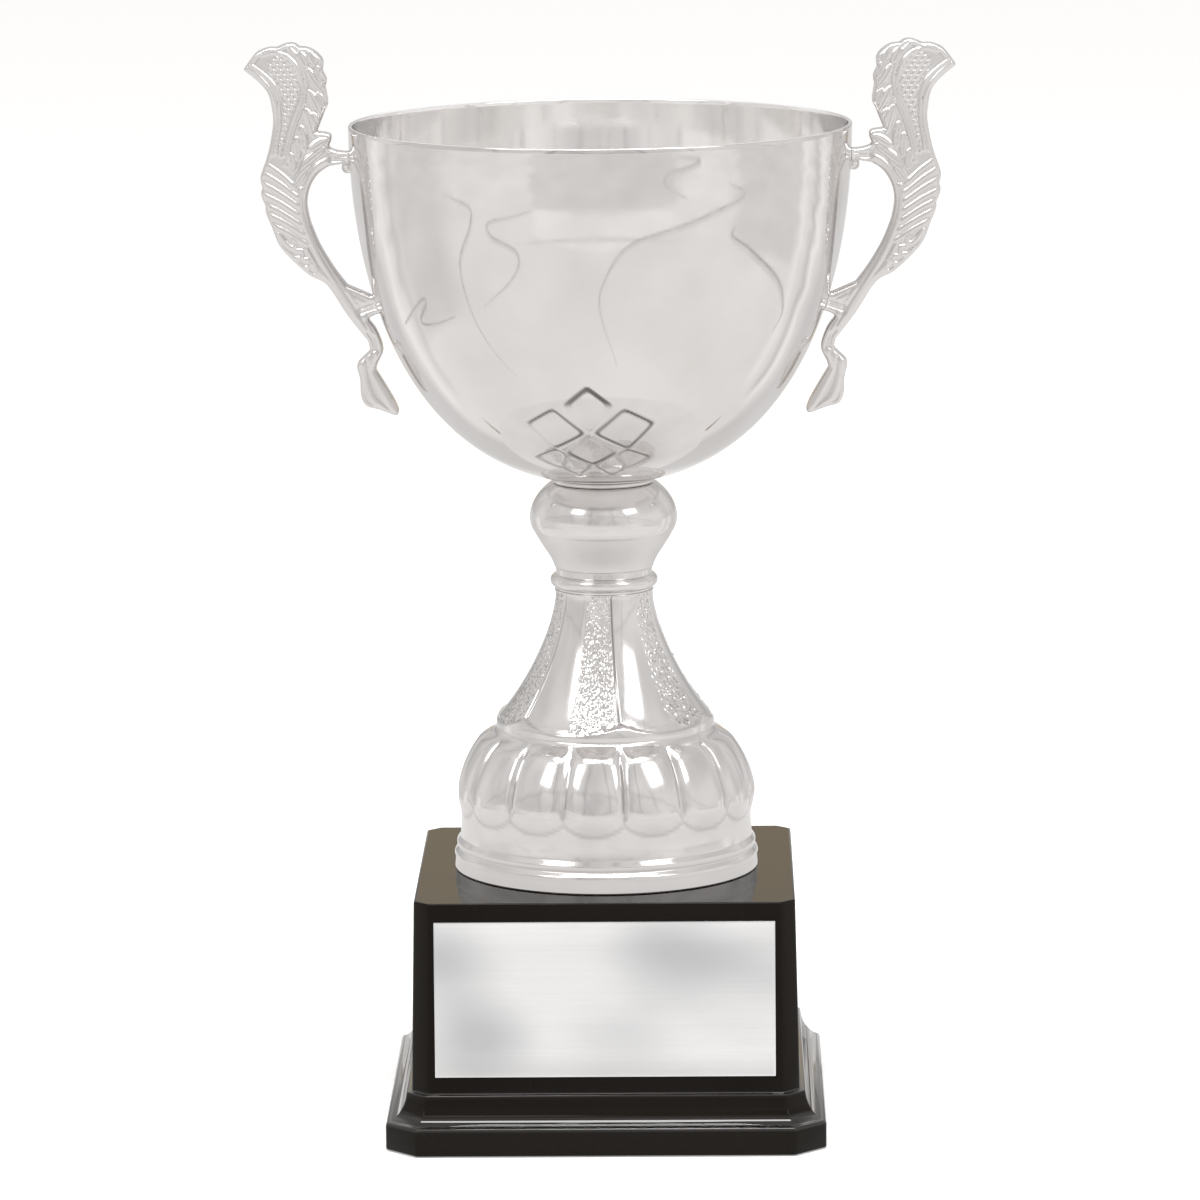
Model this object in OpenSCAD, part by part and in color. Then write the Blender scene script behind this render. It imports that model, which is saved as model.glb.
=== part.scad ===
// Two-handled cup trophy on a square plinth, in millimetres.
// The cup stands on the Z axis with the table at z = 0. The name plate faces -Y
// and the two handles point along +X and -X.

/* [Plinth] */
// Height of the plinth, from the table to its top face
plinth_height = 50; // [44:0.5:70]
// Width of the plinth's box where it meets the foot moulding
box_width = 77; // [68:0.5:110]
// Slope of the box's sides, in degrees
box_draft = 1.2; // [0:0.1:2]
// Chamfer on the box's four upright corners
box_chamfer = 3.2; // [2:0.1:5]
// Wall of the plinth's box and top
plinth_wall = 2.5; // [2:0.1:3.5]
// How far the foot stands out past the box
foot_overhang = 5.2; // [4.6:0.1:7]
// Height of the foot's upright face above the table
foot_height = 5.8; // [5.4:0.1:9]
// Height of the cove between the foot and the box
cove_height = 5.8; // [4:0.1:6.5]
// Radius of the cove
cove_radius = 6.9; // [6.6:0.1:9]
// Width of the ledge at the top of the cove
cove_ledge = 1.1; // [0.5:0.1:1.4]

/* [Plinth fittings] */
// Thickness of the felt pad
felt_thick = 1.5; // [1:0.1:2.5]
// How far the felt stands out below the plinth
felt_proud = 0.2; // [0.1:0.1:0.8]
// Thickness of the hardboard cover
cover_thick = 2.5; // [2:0.1:2.8]
// Width of the rim around the cover's recess
recess_rim = 2.6; // [2:0.1:3.5]
// Gap around the cover and the felt in the recess
cover_gap = 0.4; // [0.2:0.1:0.8]
// Width of the square steel weight
weight_width = 62; // [50:1:62]
// Thickness of the steel weight
weight_thick = 12; // [6:0.5:14]
// Depth of the boss and ribs under the plinth's top
boss_depth = 6; // [4:0.5:8]
// Diameter of the boss
boss_d = 18; // [16:0.5:24]
// Thickness of the ribs
rib_thick = 1.8; // [1.2:0.1:2.5]

/* [Name plate] */
// Margin between the plate and the box's upright edges
plate_side_margin = 4; // [3:0.1:8]
// Margin between the plate and the cove or the plinth's top
plate_end_margin = 3.6; // [2:0.1:6]
// Thickness of the plate
plate_thick = 0.6; // [0.4:0.1:1.2]
// Thickness of the tape behind the plate
tape_thick = 0.2; // [0.1:0.05:0.4]
// How far the tape stays inside the plate's edge
tape_inset = 2; // [1:0.5:4]

/* [Pedestal] */
// Diameter of the flange on the plinth
flange_d = 61.4; // [56:0.2:66]
// Height of the flange
flange_height = 4.2; // [3:0.1:6]
// Height of the ring above the flange
ring_height = 2.4; // [1.5:0.1:4]
// Diameter of the dome's waist
waist_d = 58.4; // [54:0.2:62]
// Height of the dome, from the ring to the bell
dome_height = 22.1; // [16:0.1:30]
// Diameter of the bell's lip
bell_d = 43.8; // [40:0.2:50]
// Height of the bell
bell_height = 28; // [22:0.5:40]
// Diameter of the neck at the top of the bell
neck_d = 20; // [18:0.2:22]
// Wall of the pedestal
pedestal_wall = 1.4; // [1:0.1:2]

/* [Knop] */
// Diameter of the bead under the knop
bead_d = 21.6; // [21:0.2:24]
// Height of the bead, flats included
bead_height = 4.5; // [3:0.1:6]
// Diameter of the knop
knop_d = 29.7; // [26:0.1:36]
// Height of the flare that rises to the knop's ball
flare_height = 7.3; // [5:0.1:12]
// Height of the knop's ball
ball_height = 9.7; // [8:0.1:14]
// Diameter of the ring that the bowl sits on
seat_d = 20.4; // [18:0.2:24]
// Height of that ring
seat_height = 1; // [0.6:0.1:2]

/* [Bowl] */
// Diameter of the bowl's rim
bowl_d = 100.2; // [84:0.2:122]
// Height of the bowl, from its seat to its rim
bowl_height = 71.2; // [60:0.2:90]
// Wall of the bowl
bowl_wall = 0.8; // [0.6:0.1:1.2]

/* [Handles] */
// Thickness of the handle castings
handle_thick = 4.4; // [3.6:0.1:6]
// Diameter of the handle screws
screw_d = 1.6; // [1.2:0.1:1.6]
// Depth of the screws in the handles
screw_bite = 3.5; // [2:0.1:4]
// Diameter of the screw heads
screw_head_d = 3.2; // [2.6:0.1:4]
// Height of the screw heads
screw_head_height = 1; // [0.6:0.1:1.6]

/* [Tie rod] */
// Diameter of the rod that holds the trophy together
rod_d = 6; // [5:0.5:6]
// Gap between the rod and the holes that it passes through
rod_gap = 0.3; // [0.2:0.05:0.5]
// Width of the nuts across their flats
nut_width = 10; // [9:0.5:10]
// Height of the plain nut
nut_height = 5; // [4:0.5:6]
// Length of rod that shows below the plain nut
rod_tail = 3; // [1:0.5:4]
// Diameter of the wide washers
washer_d = 18; // [14:0.5:18]
// Thickness of the wide washers
washer_thick = 1.5; // [1:0.1:2]
// Diameter of the spring washer
spring_d = 11; // [10.5:0.5:13]
// Thickness of the spring washer
spring_thick = 1.6; // [1:0.1:2]
// Height of the cap nut's hexagon
cap_height = 5.5; // [4:0.5:8]
// Radius of the cap nut's dome
cap_dome_r = 4.6; // [4:0.1:4.6]

/* [Hidden] */
$fn = 96;
overlap = 1; // how far a cutting shape runs past the face it cuts

// Heights of the stack, from the plinth's top to the rim
ring_top = plinth_height + flange_height + ring_height;
bell_base = ring_top + dome_height;
pedestal_top = bell_base + bell_height;
bead_top = pedestal_top + bead_height;
flare_top = bead_top + flare_height;
knop_top = flare_top + ball_height;
seat_top = knop_top + seat_height;
rim_z = seat_top + bowl_height;
bowl_r = bowl_d / 2;

// Plinth levels and reaches
box_half = box_width / 2;
cove_top = foot_height + cove_height;
ceiling_z = plinth_height - plinth_wall;
recess_z = felt_thick + cover_thick;
recess_half = box_half + foot_overhang - recess_rim;
cavity_half = box_half - plinth_wall - (plinth_height - cove_top) * tan(box_draft);
boss_end = ceiling_z - boss_depth;
weight_z = boss_end - weight_thick;
hole_d = rod_d + 2 * rod_gap;

// Name plate, in the plane of the box's sloping front
plate_width = 2 * box_half - 2 * (plinth_height - cove_top) * tan(box_draft) - 2 * plate_side_margin;
plate_height = plinth_height - cove_top - 2 * plate_end_margin;

// Tie rod fittings
washer_z = weight_z - washer_thick;
spring_z = washer_z - spring_thick;
nut_z = spring_z - nut_height;
bowl_floor = seat_top + bowl_wall;
cap_z = bowl_floor + washer_thick;
cap_top = cap_z + cap_height;
rod_end = cap_top - 1;

// ---- Curves ----

// Point at t on the cubic curve with end points a and d and handles b and c
function bezier(a, b, c, d, t) =
    a * pow(1 - t, 3) + 3 * b * t * pow(1 - t, 2) + 3 * c * t * t * (1 - t) + d * pow(t, 3);

function bezier_run(a, b, c, d, steps) = [for (i = [0:steps]) bezier(a, b, c, d, i / steps)];

// Direction of that curve at t
function bezier_slope(a, b, c, d, t) =
    (b - a) * pow(1 - t, 2) + (c - b) * 2 * t * (1 - t) + (d - c) * t * t;

// Point at t between b and c on the smooth curve through a, b, c and d
function through(a, b, c, d, t) =
    0.5 * (2 * b + (c - a) * t + (2 * a - 5 * b + 4 * c - d) * t * t + (3 * b - a - 3 * c + d) * pow(t, 3));

// Smooth curve through the points p, without its last point, so that runs can be joined
function smooth_run(p, steps = 4) = [
    for (i = [0:len(p) - 2], k = [0:steps - 1])
        through(p[max(i - 1, 0)], p[i], p[i + 1], p[min(i + 2, len(p) - 1)], k / steps)
];

function reversed(p) = [for (i = [len(p) - 1:-1:0]) p[i]];

// ---- Plinth ----

// How far the plinth's outside stands out from the box at each height of the cove
cove_steps = 10;
function cove_reach(drop) = cove_ledge + cove_radius - sqrt(pow(cove_radius, 2) - drop * drop);

flank = concat(
    [[foot_overhang, felt_proud], [foot_overhang, foot_height - 0.5], [foot_overhang - 0.4, foot_height]],
    [for (i = [cove_steps:-1:0]) [
        cove_reach(i / cove_steps * (cove_height - 0.1)),
        cove_top - i / cove_steps * (cove_height - 0.1)
    ]],
    [[0, cove_top], [-(plinth_height - cove_top) * tan(box_draft), plinth_height]]
);

// Corners of a chamfered square. A square that is stepped out all round by reach
// has its chamfers stepped out by the same amount.
function square_corners(half, chamfer) =
    let (edge = half - chamfer) [
        [half, -edge], [half, edge], [edge, half], [-edge, half],
        [-half, edge], [-half, -edge], [-edge, -half], [edge, -half]
    ];
function stepped_chamfer(reach) = box_chamfer + reach * (2 - sqrt(2));

// Eight-cornered rings, one for each point of the flank, joined into one solid
module plinth_outside() {
    levels = len(flank);
    points = [
        for (p = flank, c = square_corners(box_half + p[0], stepped_chamfer(p[0])))
            [c[0], c[1], p[1]]
    ];
    sides = [
        for (level = [0:levels - 2], i = [0:7])
            [level * 8 + i, (level + 1) * 8 + i, (level + 1) * 8 + (i + 1) % 8, level * 8 + (i + 1) % 8]
    ];
    bottom = [for (i = [0:7]) i];
    top = [for (i = [7:-1:0]) (levels - 1) * 8 + i];
    polyhedron(points = points, faces = concat([bottom], sides, [top]));
}

module chamfered_square(half, chamfer) {
    polygon(square_corners(half, chamfer));
}

module rod_hole(from, to) {
    translate([0, 0, from - overlap])
        cylinder(d = hole_d, h = to - from + 2 * overlap);
}

module plinth_shell() {
    color([0.07, 0.06, 0.05])
    difference() {
        union() {
            difference() {
                plinth_outside();
                translate([0, 0, -overlap])
                    linear_extrude(height = ceiling_z + overlap) chamfered_square(cavity_half, box_chamfer);
                translate([0, 0, -overlap])
                    linear_extrude(height = recess_z + overlap) chamfered_square(recess_half, stepped_chamfer(recess_half - box_half));
            }
            translate([0, 0, boss_end]) cylinder(d = boss_d, h = boss_depth + plinth_wall / 2);
            for (turn = [0, 90])
                rotate([0, 0, turn])
                    translate([-cavity_half - plinth_wall / 4, -rib_thick / 2, boss_end])
                        cube([2 * cavity_half + plinth_wall / 2, rib_thick, boss_depth + plinth_wall / 2]);
        }
        rod_hole(boss_end, plinth_height);
    }
}

module plinth_weight() {
    color([0.35, 0.35, 0.36])
    difference() {
        translate([0, 0, weight_z])
            linear_extrude(height = weight_thick) chamfered_square(weight_width / 2, box_chamfer);
        rod_hole(weight_z, boss_end);
    }
}

module bottom_sheet(from, thick) {
    half = recess_half - cover_gap;
    translate([0, 0, from])
        linear_extrude(height = thick) chamfered_square(half, stepped_chamfer(half - box_half));
}

module plinth_cover() {
    color([0.45, 0.32, 0.2]) bottom_sheet(felt_thick, cover_thick);
}

module felt_pad() {
    color([0.05, 0.05, 0.06]) bottom_sheet(0, felt_thick);
}

// Places its children on the box's sloping front, with Z along the outward normal
module on_front() {
    middle_z = (cove_top + plinth_height) / 2;
    translate([0, -(box_half - (middle_z - cove_top) * tan(box_draft)), middle_z])
        rotate([90 - box_draft, 0, 0])
            children();
}

module plate_tape() {
    color([0.9, 0.9, 0.88])
    on_front()
        translate([-plate_width / 2 + tape_inset, -plate_height / 2 + tape_inset, 0])
            cube([plate_width - 2 * tape_inset, plate_height - 2 * tape_inset, tape_thick]);
}

module name_plate() {
    color([0.85, 0.85, 0.85])
    on_front()
        translate([-plate_width / 2, -plate_height / 2, tape_thick])
            cube([plate_width, plate_height, plate_thick]);
}

// ---- Pedestal and knop ----

// Outside of the pedestal from the flange to the neck
dome_edge = 3.6; // upright stretch at the foot of the dome
lip_height = 2.6; // rounded lip of the bell
pedestal_outside = concat(
    [
        [flange_d / 2 - 0.4, plinth_height],
        [flange_d / 2, plinth_height + flange_height - 1],
        [flange_d / 2 - 0.4, plinth_height + flange_height - 0.2],
        [flange_d / 2 - 1.4, plinth_height + flange_height],
        [waist_d / 2 + 0.7, ring_top - ring_height + 0.2],
        [waist_d / 2 + 0.7, ring_top - 1.2],
        [waist_d / 2 + 0.2, ring_top]
    ],
    bezier_run(
        [waist_d / 2, ring_top + dome_edge], [waist_d / 2 + 0.8, ring_top + dome_height * 0.5],
        [bell_d / 2 + 5.2, bell_base - dome_height * 0.22], [bell_d / 2 + 0.2, bell_base], 14
    ),
    bezier_run(
        [bell_d / 2, bell_base + 0.3], [bell_d / 2 + 0.1, bell_base + 1.6],
        [bell_d / 2 - 0.1, bell_base + lip_height], [bell_d / 2 - 0.8, bell_base + lip_height + 0.5], 5
    ),
    bezier_run(
        [bell_d / 2 - 1.2, bell_base + lip_height + 1], [bell_d * 0.36, bell_base + bell_height * 0.34],
        [neck_d / 2 + 0.1, bell_base + bell_height * 0.74], [neck_d / 2, pedestal_top], 16
    )
);
neck_floor = pedestal_top - 2;

module pedestal() {
    inside = [for (p = pedestal_outside) if (p[1] < neck_floor - 1) [p[0] - pedestal_wall, p[1]]];
    color([0.8, 0.79, 0.78])
    rotate_extrude()
        polygon(concat(
            pedestal_outside,
            [[hole_d / 2, pedestal_top], [hole_d / 2, neck_floor], [neck_d / 2 - pedestal_wall, neck_floor]],
            reversed(inside)
        ));
}

// A bead between two short flats
module stem_bead() {
    bead_r = bead_height * 0.3;
    middle = pedestal_top + bead_height * 0.4;
    color([0.82, 0.81, 0.8])
    rotate_extrude()
        polygon(concat(
            [[hole_d / 2, pedestal_top], [neck_d / 2 - 0.3, pedestal_top]],
            [for (a = [-80:20:80]) [bead_d / 2 - bead_r + bead_r * cos(a), middle + bead_r * sin(a)]],
            [[neck_d / 2 - 0.3, bead_top], [hole_d / 2, bead_top]]
        ));
}

module knop() {
    ball_r = knop_d / 2;
    color([0.82, 0.81, 0.8])
    rotate_extrude()
        polygon(concat(
            [[hole_d / 2, bead_top]],
            bezier_run(
                [neck_d / 2 - 0.1, bead_top], [neck_d / 2 + 0.4, bead_top + flare_height * 0.3],
                [ball_r - 2.6, bead_top + flare_height * 0.55], [ball_r - 0.9, flare_top], 8
            ),
            bezier_run(
                [ball_r - 0.8, flare_top + 0.1], [ball_r + 0.7, flare_top + ball_height * 0.27],
                [ball_r, flare_top + ball_height * 0.68], [seat_d / 2 + 0.6, knop_top], 14
            ),
            [[hole_d / 2, knop_top]]
        ));
}

module seat_ring() {
    color([0.8, 0.79, 0.78])
    rotate_extrude()
        translate([hole_d / 2, knop_top])
            square([(seat_d - hole_d) / 2, seat_height]);
}

// ---- Bowl ----

// The bowl's outside is one curve from the axis, cut off flat at the seat.
// The inside lies the wall's thickness within it and has a flat floor.
bowl_drop = 1; // depth of the curve's pole below the seat
bowl_curve = [
    [0, seat_top - bowl_drop],
    [bowl_r * 0.7285, seat_top - bowl_drop],
    [bowl_r, seat_top - bowl_drop + (bowl_height + bowl_drop) * 0.493],
    [bowl_r, rim_z]
];
bowl_steps = 40;

function bowl_point(t) = bezier(bowl_curve[0], bowl_curve[1], bowl_curve[2], bowl_curve[3], t);
function bowl_slope(t) = bezier_slope(bowl_curve[0], bowl_curve[1], bowl_curve[2], bowl_curve[3], t);
function bowl_inward(t) =
    let (s = bowl_slope(t)) [-s[1], s[0]] / norm(s);

// The run's first point above the height z, and the run cut off level at z
function first_above(run, z, i = 1) = run[i][1] > z ? i : first_above(run, z, i + 1);
function cut_level(run, z) =
    let (
        i = first_above(run, z),
        below = run[i - 1],
        share = (z - below[1]) / (run[i][1] - below[1])
    )
    concat([below + share * (run[i] - below)], [for (j = [i:len(run) - 1]) run[j]]);

bowl_ts = [for (i = [0:bowl_steps]) i / bowl_steps];
bowl_outside = cut_level([for (t = bowl_ts) bowl_point(t)], seat_top);
bowl_inside = cut_level([for (t = bowl_ts) bowl_point(t) + bowl_inward(t) * bowl_wall], bowl_floor);

// The bowl as a solid lump, to trim what fits against its outside
module bowl_lump() {
    rotate_extrude()
        polygon(concat([[0, seat_top]], bowl_outside, [[0, rim_z]]));
}

// Where on the curve the bowl has the height z, found by halving
function bowl_t_at(z, low = 0, high = 1, tries = 24) =
    tries == 0 ? (low + high) / 2 :
    bowl_point((low + high) / 2)[1] < z
        ? bowl_t_at(z, (low + high) / 2, high, tries - 1)
        : bowl_t_at(z, low, (low + high) / 2, tries - 1);

module bowl() {
    color([0.86, 0.85, 0.84])
    difference() {
        rotate_extrude()
            polygon(concat([[hole_d / 2, seat_top]], bowl_outside, reversed(bowl_inside), [[hole_d / 2, bowl_floor]]));
        both_sides() screw_holes(screw_d / 2 + 0.1);
    }
}

// ---- Handles ----

// The right-hand handle's outline: first value outward from the rim's radius,
// second value up from the rim. Each run is smooth and meets the next at a corner.
outer_runs = [
    [[20.6, 11.2], [17.5, 8.6], [15.7, 6.2], [15, 3], [14.9, 0], [15.9, -5.2], [17.2, -9]],
    [[17.2, -9], [17.6, -10.6], [17.2, -12.4]],
    [[17.2, -12.4], [17.5, -13.8], [16.6, -16.2]],
    [[16.6, -16.2], [16.6, -17.4], [15.4, -20.4]],
    [[15.4, -20.4], [14.1, -23.8], [11.9, -26.5], [8.2, -29.9], [4.6, -32], [0.7, -38], [-3.4, -43.3]],
    [[-3.4, -43.3], [-3.7, -45], [-2.9, -46], [-1.4, -47.4]],
    [[-1.4, -47.4], [-1.1, -48.6], [-1.7, -51.1], [-1.8, -54.1], [-2.8, -56.3], [-5.4, -57.1], [-8.3, -58.2]],
    [[-8.3, -58.2], [-9.1, -58.2], [-9.4, -57.4]],
    [[-9.4, -57.4], [-8.6, -55.4], [-6.6, -51.9], [-4.9, -49.1]],
    [[-4.9, -49.1], [-5.3, -47.7], [-6.4, -45], [-5.2, -41.2], [-3.6, -39]],
    [[-3.6, -39], [-4.4, -38.2], [-9, -36.6]]
];
inner_runs = [
    [[-9, -36.6], [-8, -35.6], [-4.5, -34.2], [0.6, -32]],
    [[0.6, -32], [3.2, -28.5], [5.9, -23.9], [7.6, -19.7]],
    [[7.6, -19.7], [8.1, -17.4], [8.3, -15], [7.7, -12.3], [6.1, -9.7], [3.8, -8.1]],
    [[3.8, -8.1], [1.9, -7.8], [-0.3, -7.5], [-4, -7.5]],
    [[-4, -7.5], [-4, -5.3]],
    [[-4, -5.3], [0.9, -5.3], [3.2, -4.8], [3.8, -4.1], [3.3, -2.8], [3.7, -1.7], [6.2, -1.3]],
    [[6.2, -1.3], [5.4, 0.6], [4.5, 2.9]],
    [[4.5, 2.9], [3.9, 4.2], [4.1, 6], [4.4, 7.6]],
    [[4.4, 7.6], [4.1, 9], [4.9, 10.8]],
    [[4.9, 10.8], [4.7, 12.6], [5.7, 14.2], [7.6, 15.4], [9.4, 15.6]],
    [[9.4, 15.6], [10.4, 16.3], [12, 16.3], [14, 15.5]],
    [[14, 15.5], [15.6, 15.5], [17.4, 14.9], [18.6, 13.9], [20.6, 11.2]]
];
handle_outline = [for (run = concat(outer_runs, inner_runs)) each smooth_run(run)];

// Heights at which the arm and the bracket are screwed to the bowl
screw_drops = [6.5, 36.1];

module handle() {
    color([0.78, 0.77, 0.76])
    difference() {
        translate([bowl_r, 0, rim_z])
            rotate([90, 0, 0])
                linear_extrude(height = handle_thick, center = true) polygon(handle_outline);
        bowl_lump();
        screw_holes(screw_d / 2);
    }
}

// Places its children at each screw, on the bowl's outside with Z pointing outward
module at_screws() {
    for (drop = screw_drops) {
        t = bowl_t_at(rim_z - drop);
        p = bowl_point(t);
        n = -bowl_inward(t);
        translate([p[0], 0, p[1]])
            rotate([0, atan2(n[0], n[1]), 0])
                children();
    }
}

module screw_holes(r) {
    at_screws()
        translate([0, 0, -bowl_wall - overlap])
            cylinder(r = r, h = bowl_wall + overlap + screw_bite);
}

module both_sides() {
    children();
    mirror([1, 0, 0]) children();
}

module handle_left() {
    mirror([1, 0, 0]) handle();
}

module handle_right() {
    handle();
}

module handle_screws() {
    head_gap = 0.05; // room for the bowl's curve under a flat head
    color([0.7, 0.7, 0.7])
    both_sides()
        at_screws() {
            translate([0, 0, -bowl_wall - head_gap])
                cylinder(d = screw_d, h = bowl_wall + head_gap + screw_bite);
            translate([0, 0, -bowl_wall - head_gap - screw_head_height])
                cylinder(d = screw_head_d, h = screw_head_height);
        }
}

// ---- Tie rod ----

module tie_rod() {
    color([0.6, 0.6, 0.6])
    translate([0, 0, nut_z - rod_tail]) cylinder(d = rod_d, h = rod_end - nut_z + rod_tail);
}

module washer(from, d, thick) {
    color([0.65, 0.65, 0.65])
    difference() {
        translate([0, 0, from]) cylinder(d = d, h = thick);
        rod_hole(from, from + thick);
    }
}

module weight_washer() {
    washer(washer_z, washer_d, washer_thick);
}

module spring_washer() {
    split = 1; // width of the spring washer's cut
    color([0.5, 0.5, 0.5])
    difference() {
        washer(spring_z, spring_d, spring_thick);
        translate([0, -split / 2, spring_z - overlap])
            cube([spring_d, split, spring_thick + 2 * overlap]);
    }
}

module hexagon(height) {
    cylinder(d = nut_width / cos(30), h = height, $fn = 6);
}

module tie_nut() {
    color([0.65, 0.65, 0.65])
    difference() {
        translate([0, 0, nut_z]) hexagon(nut_height);
        translate([0, 0, nut_z - overlap]) cylinder(d = rod_d, h = nut_height + 2 * overlap);
    }
}

module bowl_washer() {
    washer(bowl_floor, washer_d, washer_thick);
}

module cap_nut() {
    color([0.8, 0.8, 0.8])
    difference() {
        translate([0, 0, cap_z]) {
            hexagon(cap_height);
            intersection() {
                translate([0, 0, cap_height]) sphere(r = cap_dome_r);
                cylinder(r = cap_dome_r + overlap, h = cap_height + cap_dome_r + overlap);
            }
        }
        translate([0, 0, cap_z - overlap]) cylinder(d = rod_d, h = rod_end - cap_z + 2 * overlap);
    }
}

felt_pad();
plinth_cover();
plinth_shell();
plinth_weight();
name_plate();
plate_tape();
pedestal();
stem_bead();
knop();
seat_ring();
bowl();
handle_left();
handle_right();
handle_screws();
tie_rod();
weight_washer();
spring_washer();
tie_nut();
bowl_washer();
cap_nut();
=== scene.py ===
"""A two-handled silver cup on a black plinth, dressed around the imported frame."""

import math

import bpy
import numpy as np
from mathutils import Matrix, Vector, kdtree, noise


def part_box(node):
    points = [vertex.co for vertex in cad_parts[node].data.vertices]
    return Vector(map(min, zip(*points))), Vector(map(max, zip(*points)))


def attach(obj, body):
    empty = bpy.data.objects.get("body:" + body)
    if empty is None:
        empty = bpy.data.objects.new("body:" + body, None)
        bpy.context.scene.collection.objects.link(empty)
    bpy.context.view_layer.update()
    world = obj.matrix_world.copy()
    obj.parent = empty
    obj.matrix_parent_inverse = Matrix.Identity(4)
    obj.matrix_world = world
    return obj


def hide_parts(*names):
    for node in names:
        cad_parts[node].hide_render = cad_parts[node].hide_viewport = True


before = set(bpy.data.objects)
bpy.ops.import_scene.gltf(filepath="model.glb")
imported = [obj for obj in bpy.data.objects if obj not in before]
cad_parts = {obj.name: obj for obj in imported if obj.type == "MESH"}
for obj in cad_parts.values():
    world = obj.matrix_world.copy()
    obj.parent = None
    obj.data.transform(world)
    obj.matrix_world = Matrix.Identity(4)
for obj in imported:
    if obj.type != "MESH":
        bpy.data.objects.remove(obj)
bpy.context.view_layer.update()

MM = 0.001


# ---- Hand tools ----


def clear():
    """Nothing is left selected, and nothing is open for editing."""
    if bpy.context.object and bpy.context.object.mode != "OBJECT":
        bpy.ops.object.mode_set(mode="OBJECT")
    bpy.ops.object.select_all(action="DESELECT")


def take(obj):
    clear()
    obj.select_set(True)
    bpy.context.view_layer.objects.active = obj
    return obj


def open_mesh(obj, everything=True):
    take(obj)
    bpy.ops.object.mode_set(mode="EDIT")
    bpy.ops.mesh.select_all(action="SELECT" if everything else "DESELECT")


def close_mesh():
    bpy.ops.object.mode_set(mode="OBJECT")


def open_points(obj, wanted):
    """The mesh is opened with only the wanted points selected."""
    open_mesh(obj, everything=False)
    close_mesh()
    for point in obj.data.vertices:
        point.select = wanted(point.co)
    bpy.ops.object.mode_set(mode="EDIT")


def named(name):
    """The piece just added gets its name, and its place goes into its mesh."""
    obj = bpy.context.object
    obj.name = obj.data.name = name
    bpy.ops.object.transform_apply(location=True, rotation=True, scale=True)
    return obj


def tidy_up(obj, gap=0.002):
    """Doubles are merged and every face is turned outward."""
    open_mesh(obj)
    bpy.ops.mesh.remove_doubles(threshold=gap * MM)
    bpy.ops.mesh.normals_make_consistent(inside=False)
    close_mesh()


def smooth(obj, degrees=35):
    take(obj)
    bpy.ops.object.shade_smooth_by_angle(angle=math.radians(degrees))


def apply_modifier(obj, kind, **settings):
    take(obj)
    tool = obj.modifiers.new(kind.lower(), kind)
    for setting, value in settings.items():
        setattr(tool, setting, value)
    bpy.ops.object.modifier_apply(modifier=tool.name)


LEAST_WEIGHT = 0.002  # a point with less relief than this is left alone


def relief(obj, depth, weights, direction="NORMAL"):
    """The surface is raised by depth (mm) times the weight that each point has."""
    group = obj.vertex_groups.new(name="relief")
    for i in np.flatnonzero(weights > LEAST_WEIGHT):
        group.add([int(i)], float(min(weights[i], 1)), "REPLACE")
    apply_modifier(
        obj, "DISPLACE", strength=depth * MM, mid_level=0, vertex_group="relief", direction=direction
    )
    obj.vertex_groups.clear()


def places(obj):
    """Each point's place, in mm."""
    co = np.empty(len(obj.data.vertices) * 3, np.float32)
    obj.data.vertices.foreach_get("co", co)
    return co.reshape(-1, 3).astype(float) / MM


def facings(obj):
    """Each point's normal."""
    no = np.empty(len(obj.data.vertices) * 3, np.float32)
    obj.data.vertices.foreach_get("normal", no)
    return no.reshape(-1, 3).astype(float)


def store_painted_line_shade(obj, dark):
    """How much painted shade its pressed lines get is stored on the piece, for its finish."""
    stored = obj.data.attributes.new("painted_line_shade", "FLOAT", "POINT")
    stored.data.foreach_set("value", dark.astype(np.float32))


def eased(x, low, high):
    """0 below low, 1 above high, and a smooth step between."""
    t = np.clip((x - low) / (high - low), 0, 1)
    return t * t * (3 - 2 * t)


def drawn(name, points, close=False):
    """A line drawn upright from point to point (radius, height, in mm)."""
    clear()
    path = [Vector((r, 0, z)) * MM for r, z in points]
    bpy.ops.mesh.primitive_plane_add(size=MM, location=path[0])
    line = named(name)
    open_mesh(line)
    bpy.ops.mesh.merge(type="CENTER")
    for a, b in zip(path, path[1:]):
        bpy.ops.mesh.extrude_region_move(TRANSFORM_OT_translate={"value": b - a})
    if close:
        bpy.ops.mesh.select_all(action="SELECT")
        bpy.ops.mesh.remove_doubles(threshold=0.001 * MM)
    close_mesh()
    return line


def round_corners(line, size, sharper_than=24):
    """Corners of a drawn line that turn sharply are rounded off."""
    near = {v.index: [] for v in line.data.vertices}
    for e in line.data.edges:
        a, b = e.vertices
        near[a].append(b)
        near[b].append(a)
    at = [v.co.copy() for v in line.data.vertices]
    open_mesh(line, everything=False)
    close_mesh()
    for v, ends in near.items():
        if len(ends) == 2:
            turn = (at[v] - at[ends[0]]).angle(at[ends[1]] - at[v], 0)
            line.data.vertices[v].select = math.degrees(turn) > sharper_than
    bpy.ops.object.mode_set(mode="EDIT")
    bpy.ops.mesh.select_mode(type="VERT")
    bpy.ops.mesh.bevel(offset=size * MM, segments=3, affect="VERTICES", clamp_overlap=True)
    close_mesh()


def turned(line, turns, sectors):
    """The drawn line is spun round the upright axis through one sector, in
    stretches of (degrees, steps), and the sector is copied round to close the ring."""
    centre = {"center": (0, 0, 0), "axis": (0, 0, 1)}
    open_mesh(line)
    for degrees, steps in turns:
        bpy.ops.mesh.spin(steps=steps, angle=math.radians(degrees), **centre)
    bpy.ops.mesh.select_all(action="SELECT")
    rest = 2 * math.pi * (sectors - 1) / sectors
    bpy.ops.mesh.spin(steps=sectors - 1, angle=rest, dupli=True, **centre)
    close_mesh()
    tidy_up(line)
    return line


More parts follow.
